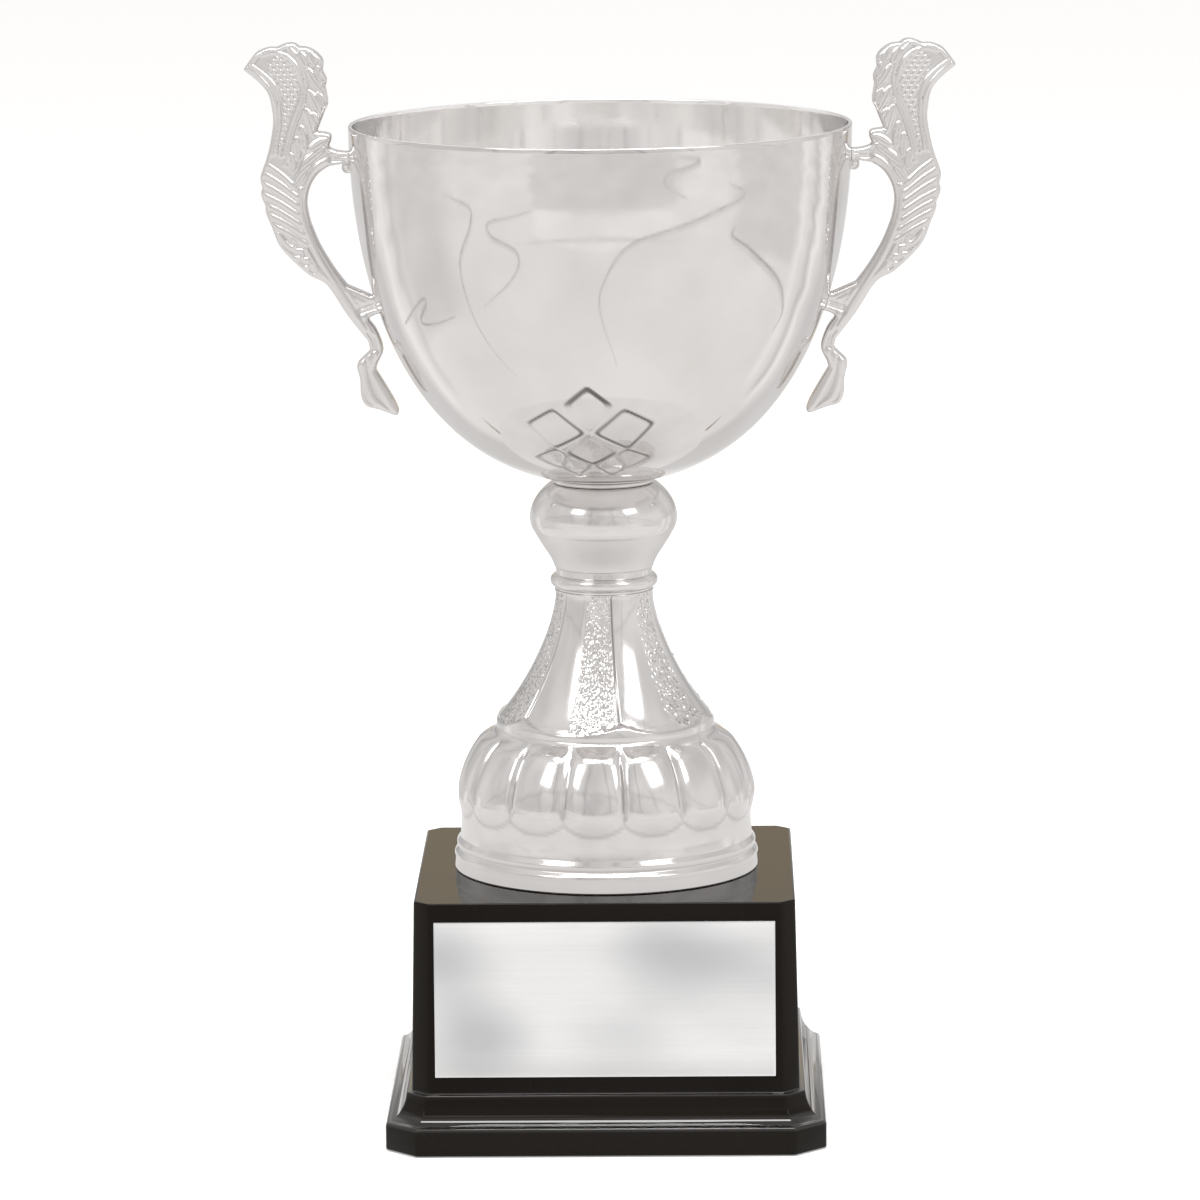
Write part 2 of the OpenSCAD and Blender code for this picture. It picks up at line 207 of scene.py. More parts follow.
def bezier(a, b, c, d, steps):
    """Points along a curve from a to d, drawn towards b and c."""
    a, b, c, d = map(np.array, (a, b, c, d))
    return [
        tuple((1 - t) ** 3 * a + 3 * (1 - t) ** 2 * t * b + 3 * (1 - t) * t * t * c + t**3 * d)
        for t in np.linspace(0, 1, steps + 1)
    ]


def fitted(obj, slot_name, *nodes):
    """The piece rides on the trophy and stands for these nodes; slot_name is not used."""
    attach(obj, "root")
    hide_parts(*nodes)


# ---- Levels, from the frame (mm) ----


def level(node, end):
    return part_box(node)[end].z / MM


PLINTH_TOP = level("plinth_shell", 1)
NECK_TOP = level("pedestal", 1)
BEAD_TOP = level("stem_bead", 1)
KNOP_TOP = level("knop", 1)
SEAT_TOP = level("seat_ring", 1)
RIM = level("bowl", 1)
RIM_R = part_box("bowl")[1].x / MM
HOLE_R = 3.3  # the tie rod's hole


# ---- Finishes ----


class Value:
    """A number or colour inside a finish. Sums and products of values become nodes."""

    def __init__(self, finish, socket):
        self.finish, self.socket = finish, socket

    def maths(self, operation, a, b):
        return self.finish.add("Math", {"operation": operation}, {0: a, 1: b})

    def __add__(self, other):
        return self.maths("ADD", self, other)

    def __sub__(self, other):
        return self.maths("SUBTRACT", self, other)

    def __rsub__(self, other):
        return self.maths("SUBTRACT", other, self)

    def __mul__(self, other):
        return self.maths("MULTIPLY", self, other)

    __radd__ = __add__
    __rmul__ = __mul__


class Nodes:
    """A node tree in the making."""

    def __init__(self, tree):
        self.tree = tree

    def feed(self, socket, value):
        if isinstance(value, Value):
            self.tree.links.new(value.socket, socket)
        else:
            socket.default_value = value

    def add(self, kind, settings=None, inputs=None, out=0):
        node = self.tree.nodes.new("ShaderNode" + kind)
        for setting, value in (settings or {}).items():
            setattr(node, setting, value)
        for socket, value in (inputs or {}).items():
            self.feed(node.inputs[socket], value)
        return Value(self, node.outputs[out])

    def spread(self, value, low, high, to_low=0.0, to_high=1.0, smooth=False):
        """The value's run from low to high becomes one from to_low to to_high."""
        kind = "SMOOTHSTEP" if smooth else "LINEAR"
        values = {"Value": value, "From Min": low, "From Max": high, "To Min": to_low, "To Max": to_high}
        return self.add("MapRange", {"clamp": True, "interpolation_type": kind}, values)

    def blend(self, share, a, b):
        return self.add("Mix", {"data_type": "RGBA"}, {0: share, 6: a, 7: b}, 2)

    def along_axis(self, vector, axis):
        """One of a vector's three numbers."""
        return self.add("SeparateXYZ", {}, {0: vector}, axis)


class Finish(Nodes):
    """A material in the making."""

    def __init__(self, name, **fixed):
        self.material = bpy.data.materials.new(name)
        self.material.use_nodes = True
        super().__init__(self.material.node_tree)
        self.shader = self.tree.nodes["Principled BSDF"]
        self.set(**fixed)
        self.place = self.add("TexCoord", out="Object")

    def stretched(self, x, y, z):
        return self.add("VectorMath", {"operation": "MULTIPLY"}, {0: self.place, 1: (x, y, z)})

    def distance(self, place, to):
        return self.add("VectorMath", {"operation": "DISTANCE"}, {0: place, 1: to}, "Value")

    def noise(self, size_mm, detail=2.0, at=None, roughness=0.5):
        """Soft random patches of about that size, around 0.5."""
        values = {"Vector": at or self.place, "Scale": 1 / (size_mm * MM), "Detail": detail}
        return self.add("TexNoise", {}, values | {"Roughness": roughness}, "Fac")

    def bumped(self, height, depth_mm, strength=1.0, over=None):
        inputs = {"Height": height, "Distance": depth_mm * MM, "Strength": strength}
        if over is not None:
            inputs["Normal"] = over
        return self.add("Bump", {}, inputs, "Normal")

    def set(self, **sockets):
        for socket, value in sockets.items():
            self.feed(self.shader.inputs[socket.replace("_", " ")], value)
        return self.material

    def mixed(self, share, first, second):
        """The share of the second shader over the first is what the surface shows."""
        both = self.add("MixShader", {}, {0: share, 1: first, 2: second})
        self.feed(self.tree.nodes["Material Output"].inputs["Surface"], both)
        return self.material

    def principled(self):
        return Value(self, self.shader.outputs[0])


SILVER = (0.80, 0.783, 0.776)
# Colour of the painted shade along pressed lines
PAINTED_LINE_SHADE = (0.10, 0.096, 0.092, 1)


def silver_finish(name, shine, tone, ripple, satin=None, with_line_shade=False, metallic=1.0):
    """Bright plating: faint clouding, fine wiping marks and a slight ripple. Between
    the satin levels (mm) it is less sharply polished. Its pressed lines can get painted shade."""
    f = Finish(name, Metallic=metallic)
    cloud = f.noise(14, 3)
    wiped = f.noise(1.0, 3, at=f.stretched(1, 1, 0.12))
    haze = f.spread(cloud, 0.45, 0.75)
    colour = f.blend(haze, (*tone, 1), (tone[0] * 0.95, tone[1] * 0.945, tone[2] * 0.93, 1))
    # painted shade: the pressed lines are darkened in the colour, standing in for the shade and dark reflection
    # in them
    if with_line_shade:
        line = f.add("Attribute", {"attribute_name": "painted_line_shade"}, out="Fac")
        colour = f.blend(line * 0.9, colour, PAINTED_LINE_SHADE)
    rough = f.spread(wiped, 0.35, 0.75, shine, shine + 0.035) + haze * 0.03
    if satin:
        low, high, more = satin
        up = f.along_axis(f.place, 2)
        above = f.spread(up, (low - 0.5) * MM, low * MM)
        rough = rough + more * above * (1 - f.spread(up, high * MM, (high + 1.5) * MM))
    wave = f.bumped(f.noise(9, 1), ripple)
    fine = f.bumped(f.noise(0.35, 2), 0.0012, over=wave)
    return f.set(Base_Color=colour, Roughness=rough, Normal=fine)


def black_finish():
    """Glossy black moulding: a warm black, hairline scuffs, a little dust, and a
    thicker lacquer where it pools in the cove and on the ledge."""
    f = Finish("plinth_gloss_black", IOR=1.27)
    dust = f.spread(f.noise(1.6, 6, roughness=0.7), 0.62, 0.8)
    patch = f.noise(22, 3)
    colour = f.blend(dust * 0.06, (0.0052, 0.0034, 0.0017, 1), (0.14, 0.12, 0.10, 1))
    scuff = f.spread(f.noise(0.5, 2, at=f.stretched(1, 1, 9)), 0.68, 0.78)
    rough = f.spread(patch, 0.35, 0.7, 0.07, 0.13) + scuff * 0.06 + dust * 0.12
    up = f.along_axis(f.place, 2)
    in_cove = 1 - f.spread(up, 7.2 * MM, 7.8 * MM)
    on_ledge = f.spread(up, 11.2 * MM, 11.4 * MM) * (1 - f.spread(up, 11.8 * MM, 12.0 * MM))
    pooled = (in_cove + on_ledge) * f.spread(up, 5.0 * MM, 5.3 * MM)
    height = f.bumped(f.noise(16, 1), 0.02)
    scuffed = f.bumped(scuff, 0.002, over=height)
    return f.set(Base_Color=colour, Roughness=rough, Coat_Weight=pooled, Normal=scuffed)


# Painted reflection on the plate, as soft grey clouds: across and up from its middle, size (mm), and how grey
PLATE_PAINTED_REFLECTIONS = [(-33, 7, 17, 0.8), (14, 9, 19, 0.95), (31, 7, 15, 0.5), (-25, -8, 16, 1.0), (2, -7, 15, 0.3)]


def brushed_finish():
    """The engraving plate: long level brush lines, soft random clouding, and placed grey clouds of painted
    reflection.
    """
    f = Finish("plate_brushed_silver", Metallic=1.0)
    line = f.noise(0.13, 3, at=f.stretched(0.016, 1, 1))
    long_line = f.noise(0.7, 2, at=f.stretched(0.01, 1, 1))
    share = f.spread(f.noise(17, 1, at=f.stretched(0.75, 1, 1.2)), 0.4, 0.75) * 0.25
    low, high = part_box("name_plate")
    middle = (low + high) / 2
    squash = Vector((1, 1, 1.3))
    # painted reflection: grey clouds placed on the plate's colour, standing in for the reflections it shows
    for across, up, size, depth in PLATE_PAINTED_REFLECTIONS:
        spot = middle + Vector((across, 0, up)) * MM
        away = f.distance(f.stretched(*squash), spot * squash)
        share = share + f.spread(away, 0, size * MM, depth, 0, smooth=True)
    shade = f.blend(f.spread(share, 0, 1), (1.0, 1.0, 1.0, 1), (0.66, 0.67, 0.68, 1))
    mark = f.spread(line * 0.6 + long_line * 0.4, 0.4, 0.62)
    colour = f.blend(mark * 0.07, shade, (0.5, 0.5, 0.51, 1))
    rough = f.spread(line, 0.3, 0.7, 0.28, 0.42)
    return f.set(Base_Color=colour, Roughness=rough, Normal=f.bumped(line, 0.004, 0.6))


def steel_finish(name, tone, grain_mm, rust=0.0):
    """Plain steel fixings: turned grain, oil stains and, on rough ones, rust."""
    f = Finish(name, Metallic=1.0)
    grain = f.noise(grain_mm, 3, at=f.stretched(1, 1, 6))
    stain = f.spread(f.noise(6, 4), 0.5, 0.72)
    colour = f.blend(stain, (*tone, 1), (tone[0] * 0.7, tone[1] * 0.66, tone[2] * 0.6, 1))
    worn = f.spread(f.noise(2.5, 5, roughness=0.65), 0.6, 0.7) * rust
    colour = f.blend(worn, colour, (0.16, 0.07, 0.03, 1))
    rough = f.spread(grain, 0.3, 0.7, 0.22, 0.4) + stain * 0.1 + worn * 0.3
    return f.set(Base_Color=colour, Roughness=rough, Normal=f.bumped(grain, 0.008))


def sheet_finish(name, light, dark, size_mm, depth_mm, rough_low, rough_high):
    """Felt, hardboard and tape: matted fibres in two tones."""
    f = Finish(name, IOR=1.4)
    fibre = f.noise(size_mm, 5, roughness=0.7)
    patch = f.noise(size_mm * 18, 3)
    share = f.spread(fibre * 0.7 + patch * 0.3, 0.35, 0.65)
    rough = f.spread(fibre, 0.3, 0.7, rough_low, rough_high)
    colour = f.blend(share, (*dark, 1), (*light, 1))
    return f.set(Base_Color=colour, Roughness=rough, Normal=f.bumped(fibre, depth_mm))


BOWL_SILVER = silver_finish("bowl_bright_silver", 0.03, SILVER, 0.010, with_line_shade=True)
# painted light: the bowl's inside is a lighter, less metallic copy of the same plating, making up for the shade
# inside it
BOWL_INSIDE_PAINTED_LIGHT = silver_finish("bowl_inside_painted_light_silver", 0.05, (0.955, 0.945, 0.94), 0.010, metallic=0.84)
CAST_SILVER = silver_finish("pedestal_cast_silver", 0.11, SILVER, 0.008, with_line_shade=True)
KNOP_SILVER = silver_finish("knop_cast_silver", 0.12, SILVER, 0.008, satin=(BEAD_TOP, BEAD_TOP + 6.6, 0.3))
HANDLE_SILVER = silver_finish("handle_cast_silver", 0.19, SILVER, 0.008)
PLINTH_BLACK = black_finish()
PLATE_SILVER = brushed_finish()
NUT_STEEL = steel_finish("fixing_zinc_steel", (0.62, 0.62, 0.6), 0.4)
WEIGHT_STEEL = steel_finish("weight_mill_steel", (0.34, 0.34, 0.35), 0.9, rust=0.8)
FELT = sheet_finish("felt_black", (0.035, 0.034, 0.038), (0.008, 0.008, 0.009), 0.22, 0.12, 0.85, 1.0)
HARDBOARD = sheet_finish("hardboard_brown", (0.30, 0.19, 0.10), (0.16, 0.09, 0.045), 0.5, 0.05, 0.6, 0.85)
TAPE = sheet_finish("tape_foam_white", (0.82, 0.81, 0.77), (0.66, 0.65, 0.6), 0.3, 0.03, 0.5, 0.7)


def painted(obj, material):
    obj.data.materials.clear()
    obj.data.materials.append(material)


# ---- Plinth ----

BOX_HALF = 38.5
CHAMFER = 3.2
COVE_TOP = 11.6
COVE_DROP = 5.7
LEDGE = 1.1
COVE_R = 6.9
BOX_DRAFT = math.radians(1.2)
FOOT_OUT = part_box("plinth_shell")[1].x / MM - BOX_HALF
RIM_WIDTH = 2.6
RECESS_DEPTH = 4
SIDES = 8
STRIP_LENGTH = 110  # longer than any side; the mitres cut it off


def plinth_flank():
    """How far the plinth stands out from the box, level by level from the top."""
    top_in = -(PLINTH_TOP - COVE_TOP) * math.tan(BOX_DRAFT)
    cove = [
        (LEDGE + COVE_R - math.sqrt(COVE_R**2 - drop**2), COVE_TOP - drop)
        for drop in np.linspace(0, COVE_DROP, 17)
    ]
    foot = [(FOOT_OUT - 0.4, 5.8), (FOOT_OUT, 5.3), (FOOT_OUT, 0.2)]
    return [(top_in, PLINTH_TOP), (0, COVE_TOP)] + cove + foot


def flank_strip(name, out_to, facing):
    """One side of the plinth: the flank's line, drawn and dragged sideways."""
    line = drawn(name, [(out_to + t, z) for t, z in plinth_flank()])
    round_corners(line, 0.35, 20)
    open_mesh(line)
    bpy.ops.transform.translate(value=(0, -STRIP_LENGTH / 2 * MM, 0))
    bpy.ops.mesh.extrude_region_move(TRANSFORM_OT_translate={"value": (0, STRIP_LENGTH * MM, 0)})
    close_mesh()
    line.data.transform(Matrix.Rotation(facing, 4, "Z"))
    return line


def mitre(strip, facing, out_to, half_side):
    """The strip is cut off where it meets its neighbours on both sides."""
    out = Vector((math.cos(facing), math.sin(facing), 0))
    sideways = Vector((-out.y, out.x, 0))
    for side in (-1, 1):
        meet = (out * out_to + sideways * side * half_side) * MM
        lean = facing + side * math.pi / SIDES
        cut = Vector((-math.sin(lean), math.cos(lean), 0)) * side
        open_mesh(strip)
        bpy.ops.mesh.bisect(plane_co=meet, plane_no=cut, clear_outer=True)
        close_mesh()


def plinth():
    pieces = []
    for turn in range(SIDES):
        facing = turn * 2 * math.pi / SIDES
        straight = turn % 2 == 0
        out_to = BOX_HALF if straight else (2 * BOX_HALF - CHAMFER) / math.sqrt(2)
        half_side = BOX_HALF - CHAMFER if straight else CHAMFER / math.sqrt(2)
        strip = flank_strip(f"side_{turn}", out_to, facing)
        mitre(strip, facing, out_to, half_side)
        pieces.append(strip)
    clear()
    for strip in pieces:
        strip.select_set(True)
    bpy.context.view_layer.objects.active = pieces[0]
    bpy.ops.object.join()
    body = named("plinth")
    open_mesh(body)
    bpy.ops.mesh.remove_doubles(threshold=0.01 * MM)
    close_mesh()
    # the bottom rim, the recess's wall and its ceiling
    low = min(v.co.z for v in body.data.vertices)
    open_points(body, lambda at: at.z < low + 0.01 * MM)
    bpy.ops.mesh.edge_face_add()
    bpy.ops.mesh.inset(thickness=RIM_WIDTH * MM, depth=0)
    bpy.ops.mesh.extrude_region_move(TRANSFORM_OT_translate={"value": (0, 0, RECESS_DEPTH * MM)})
    close_mesh()
    high = max(v.co.z for v in body.data.vertices)
    open_points(body, lambda at: at.z > high - 0.01 * MM)
    bpy.ops.mesh.edge_face_add()
    bpy.ops.mesh.inset(thickness=0.45 * MM, depth=0.0)
    close_mesh()
    tidy_up(body, 0.005)
    sharp = {"limit_method": "ANGLE", "angle_limit": math.radians(38)}
    apply_modifier(body, "BEVEL", width=0.4 * MM, segments=3, **sharp)
    painted(body, PLINTH_BLACK)
    smooth(body, 30)
    fitted(body, "plinth_black", "plinth_shell")


plinth()


# ---- Engraving plate ----


PLATE_THICK = 0.6


def engraving_plate():
    low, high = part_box("name_plate")
    thick = PLATE_THICK * MM
    clear()
    tall = (high.z - low.z - thick * math.sin(BOX_DRAFT)) / math.cos(BOX_DRAFT)
    bpy.ops.mesh.primitive_cube_add(
        size=1, location=(low + high) / 2, rotation=(-BOX_DRAFT, 0, 0), scale=(high.x - low.x, thick, tall)
    )
    plate = named("engraving_plate")
    open_mesh(plate, everything=False)
    close_mesh()
    for face in plate.data.polygons:
        face.select = face.normal.y < -0.9
    bpy.ops.object.mode_set(mode="EDIT")
    bpy.ops.mesh.inset(thickness=0.28 * MM, depth=0)
    bpy.ops.mesh.inset(thickness=0.12 * MM, depth=-0.05 * MM)
    bpy.ops.mesh.subdivide(number_cuts=6)
    close_mesh()
    sharp = {"limit_method": "ANGLE", "angle_limit": math.radians(40)}
    apply_modifier(plate, "BEVEL", width=0.12 * MM, segments=2, **sharp)
    painted(plate, PLATE_SILVER)
    smooth(plate, 30)
    fitted(plate, "plate_silver", "name_plate")


engraving_plate()


# ---- Pedestal ----

DOME_LOBES = 15
LOBE = 360 / DOME_LOBES
BELL_PANELS = 6
PANEL = 360 / BELL_PANELS
FLANGE_TOP = PLINTH_TOP + 4.2
RING_TOP = PLINTH_TOP + 6.6
BELL_BASE = PLINTH_TOP + 28.7


def round_trip(at):
    """Each point's angle round the axis from the front, in degrees, and its height."""
    return np.degrees(np.arctan2(at[:, 0], -at[:, 1])), at[:, 2]


def within(angle, pitch, start):
    """How far round the point is inside its own repeat, in degrees."""
    return np.mod(angle - start, pitch)


# Heights, and how far out the middle of the casting's wall is there
MID_WALL = [50, 57, 65, 73, 79, 82, 90, 98, 107], [29, 28.8, 28.4, 25.7, 20.8, 19.7, 13.1, 9.8, 8.6]
# The casting's hollow, as radius and height: from the neck's floor down to the foot
HOLLOW = [
    (8.4, NECK_TOP - 2), (9.6, 98), (12.5, 90), (19.0, 82), (20.2, 78.5), (25.2, 72.5), (27.6, 65), (28, 57),
    (28.6, PLINTH_TOP),
]


def pedestal_line():
    outside = [
        (30.6, PLINTH_TOP), (30.4, PLINTH_TOP + 2.5), (30.7, PLINTH_TOP + 2.95), (30.5, PLINTH_TOP + 3.6),
        (29.7, FLANGE_TOP + 0.1), (30.15, PLINTH_TOP + 4.9), (30.15, PLINTH_TOP + 5.6), (29.4, RING_TOP),
    ]
    outside += bezier((29.2, RING_TOP + 3.6), (30.0, 67.65), (27.1, 73.84), (22.1, BELL_BASE), 36)
    bead = BELL_BASE + np.array([0.3, 1.6, 2.6, 3.1])
    outside += bezier(*zip((21.9, 22.0, 21.8, 21.1), bead), 9)
    outside += bezier((20.7, BELL_BASE + 3.6), (15.77, 88.22), (10.1, 99.42), (10, NECK_TOP), 104)
    return outside + [(HOLE_R, NECK_TOP), (HOLE_R, NECK_TOP - 2)] + HOLLOW + [(30.6, PLINTH_TOP)]


def pedestal():
    line = drawn("pedestal_casting", pedestal_line(), close=True)
    round_corners(line, 0.3)
    body = turned(line, [(30, 38)], 12)
    at = places(body)
    angle, z = round_trip(at)
    outer = np.hypot(at[:, 0], at[:, 1]) > np.interp(z, *MID_WALL)

    # lobes round the dome, with rounded feet and narrow valleys between
    across = np.abs(within(angle, LOBE, 8) / LOBE * 2 - 1)
    foot = 61.4 + 2.2 * across**2.4
    swell = np.sqrt(np.clip(1 - across**2.4, 0, 1))
    tucked = 1 - eased(z, BELL_BASE - 2.0, BELL_BASE - 0.2)
    on_dome = outer * (z > 60) * (z < BELL_BASE)
    round_foot = eased(z, foot - 0.1, foot + 5.0) ** 0.6
    round_head = np.sqrt(np.clip(1 - eased(z, BELL_BASE - 3.6 - 1.6 * across**3, BELL_BASE - 0.6), 0, 1))
    relief(body, 1.0, on_dome * swell * round_foot * round_head)
    relief(body, -0.5, on_dome * (1 - swell) ** 2 * eased(z, foot + 0.4, foot + 3.5) * tucked)
    # painted shade: dark lines at the lobes' feet and along their valleys, standing in for the shade in these
    # creases
    foot_shade_line = eased(z, foot - 0.7, foot - 0.05) * (1 - eased(z, foot + 0.1, foot + 0.8))
    valley_shade_line = (1 - swell) ** 3 * eased(z, foot, foot + 1) * round_head
    dark = on_dome * (0.24 * foot_shade_line + 0.22 * valley_shade_line)

    # six pairs of panels on the bell: one bright, one stippled, over a scalloped edge
    round_it = within(angle, PANEL, 10)
    inward = np.abs(round_it / PANEL * 2 - 1)
    scallop = 80.2 + 2.2 * inward**2.6
    on_bell = outer * (z > BELL_BASE + 1)
    top = 1 - eased(z, NECK_TOP - 0.5, NECK_TOP - 0.1)
    panel = on_bell * top * eased(z, scallop, scallop + 0.5)
    relief(body, -0.32, panel)
    strip = eased(round_it, 56.6, 57.2) * (1 - eased(round_it, 58.0, 58.6))
    relief(body, 0.22, panel * strip)
    groove = eased(round_it, 58.4, 59.1) * (1 - eased(round_it, 59.5, 60.0))
    relief(body, -0.22, panel * groove)
    stipple = eased(round_it, 30.6, 31.2) * (1 - eased(round_it, 56.2, 56.8))
    stipple = stipple * panel * eased(z, scallop + 0.2, scallop + 0.6)
    grain = np.zeros(len(z))
    for i in np.flatnonzero(stipple > 0):
        spot = Vector(at[i])
        grain[i] = noise.noise(spot * 2.7) + 0.7 * noise.noise(spot * 4.7)
    relief(body, 0.3, stipple * np.clip(grain + 0.15, 0, 1))
    relief(body, -0.2, stipple * np.clip(-grain, 0, 1))
    # painted shade: a dark line along the scalloped edge and in the grooves between panels
    scallop_shade_line = eased(z, scallop - 0.3, scallop) * (1 - eased(z, scallop + 0.2, scallop + 0.6))
    dark = np.clip(dark + on_bell * (0.2 * scallop_shade_line + 0.3 * panel * groove), 0, 1)
    store_painted_line_shade(body, dark)
    painted(body, CAST_SILVER)
    smooth(body, 60)
    fitted(body, "cast_silver", "pedestal")


pedestal()


# ---- Stem bead, knop and seat ring ----


def small_turning(name, points, node, corner=0.15):
    line = drawn(name, points + points[:1], close=True)
    round_corners(line, corner)
    piece = turned(line, [(30, 16)], 12)
    painted(piece, KNOP_SILVER)
    smooth(piece, 40)
    fitted(piece, "cast_silver", node)


def stem_bead():
    bead_r, middle = 1.35, NECK_TOP + 1.8
    bead = [
        (10.8 - bead_r + bead_r * math.cos(a), middle + bead_r * math.sin(a))
        for a in np.radians(np.linspace(-82, 82, 19))
    ]
    ends = [(HOLE_R, NECK_TOP), (9.7, NECK_TOP)], [(9.7, BEAD_TOP), (HOLE_R, BEAD_TOP)]
    small_turning("stem_bead_turning", ends[0] + bead + ends[1], "stem_bead")


def knop():
    flare = BEAD_TOP + 7.3
    outside = bezier((9.9, BEAD_TOP), (10.4, 113.39), (12.25, 115.2), (13.95, flare), 20)
    outside += bezier((14.05, flare + 0.1), (15.55, 121.1), (14.85, 125.1), (10.8, KNOP_TOP), 32)
    small_turning("knop_turning", [(HOLE_R, BEAD_TOP)] + outside + [(HOLE_R, KNOP_TOP)], "knop")


def seat_ring():
    bulge_r, middle = 0.5, (KNOP_TOP + SEAT_TOP) / 2
    bulge = [
        (10.2 - bulge_r + bulge_r * math.cos(a), middle + bulge_r * math.sin(a))
        for a in np.radians(np.linspace(-85, 85, 11))
    ]
    small_turning("seat_ring_turning", [(HOLE_R, KNOP_TOP)] + bulge + [(HOLE_R, SEAT_TOP)], "seat_ring", 0.05)


stem_bead()
knop()
seat_ring()


# ---- Bowl ----

BOWL_WALL = 0.8
DIAMONDS_TOP, DIAMONDS_FOOT = 154.5, 133.5


def run_along(curve):
    """How far along the curve each of its points is."""
    return np.concatenate([[0], np.cumsum(np.hypot(*np.diff(curve, axis=0).T))])


def bowl_curve():
    """The bowl's outside from the seat to the rim, with its rows close together
    where the diamonds are."""
    curve = np.array(bezier((0, SEAT_TOP - 1), (36.5, SEAT_TOP - 1), (RIM_R, 163.8), (RIM_R, RIM), 2000))
    curve = curve[curve[:, 1] >= SEAT_TOP]
    run = run_along(curve)
    rows, at = [], 0.0
    while at < run[-1] - 0.3:
        r, z = (np.interp(at, run, curve[:, k]) for k in (0, 1))
        rows.append((float(r), float(z)))
        away = max(z - DIAMONDS_TOP, DIAMONDS_FOOT - z, 0)
        at += min(0.45 + 0.14 * away, 2.4)
    return rows + [(RIM_R, RIM)]


def bowl_turns():
    """Steps round the bowl: fine at the front and the back, coarse at the sides."""
    fine, grow, coarsest = (30, 70), 1.14, 3.2
    step, graded = 0.4, []
    while step * grow < coarsest:
        step *= grow
        graded.append(step)
    left = 90 - fine[0] - sum(graded)
    quarter = [(a, 1) for a in graded] + [(left, round(left / step))]
    return quarter[::-1] + [fine] * 2 + quarter


CLUSTER_TURN = -4.0
# Corners of each diamond: angle from the cluster's middle (degrees) and height (mm),
# from the top corner round by the right
DIAMONDS = [
    [(0.5, 153.0), (7.6, 149.0), (0.4, 142.9), (-6.6, 149.0)],
    [(-10.4, 148.1), (-1.6, 142.8), (-13.6, 139.3), (-20.2, 144.7)],
    [(11.4, 148.1), (21.4, 144.8), (14.4, 139.3), (2.4, 142.8)],
    [(0.4, 142.3), (10.0, 138.3), (0.4, 135.5), (-9.2, 138.3)],
    [(-13.8, 139.0), (-10.0, 137.9), (-15.0, 134.4), (-24.0, 137.0)],
    [(14.4, 139.0), (25.0, 137.0), (16.0, 134.4), (10.8, 137.9)],
    [(-9.4, 137.8), (-0.6, 135.2), (-9.0, 132.6), (-15.0, 134.8)],
    [(10.2, 137.8), (16.0, 134.8), (10.0, 132.6), (1.4, 135.2)],
]
# Painted shade on each diamond's sides (for shade and reflection on the bevels), from
# its upper right side round by the bottom, and how wide its lines are (mm)
SIDE_PAINTED_SHADE = [
    (1, 0, 0, 0.9), (0.75, 1, 0.1, 1), (1, 0.8, 0.9, 0.75), (0.1, 0.95, 0.95, 0.1),
    (0.5, 0.2, 0.5, 0.9), (0.9, 0.5, 0.2, 0.5), (0.3, 0.6, 0.6, 0.2), (0.2, 0.6, 0.6, 0.3),
]
SIDE_WIDTH = [0.75, 0.25, 0.25, 0.3, 0.2, 0.2, 0.2, 0.2]
BOWL_BEND = 46.0  # the bowl's own radius of bend there (mm)
SHARPNESS = 2.6  # of a diamond's corners (per mm)


def facet(spots, corners, darkness):
    """How far inside a diamond each spot is (mm, negative outside), how far it is
    from the middle and above it, and how much painted shade the nearest side gets."""
    deep = shaded = 0
    for a, b, dark in zip(corners, np.roll(corners, -1, axis=0), darkness):
        side = b - a
        inward = np.array([side[1], -side[0]]) / np.linalg.norm(side)
        share = np.exp(np.clip(-SHARPNESS * ((spots - a) @ inward), -60, 60))
        deep = deep + share
        shaded = shaded + dark * share
    middle = corners.mean(axis=0)
    out = np.linalg.norm(spots - middle, axis=1)
    return -np.log(deep) / SHARPNESS, out, spots[:, 1] - middle[1], shaded / deep


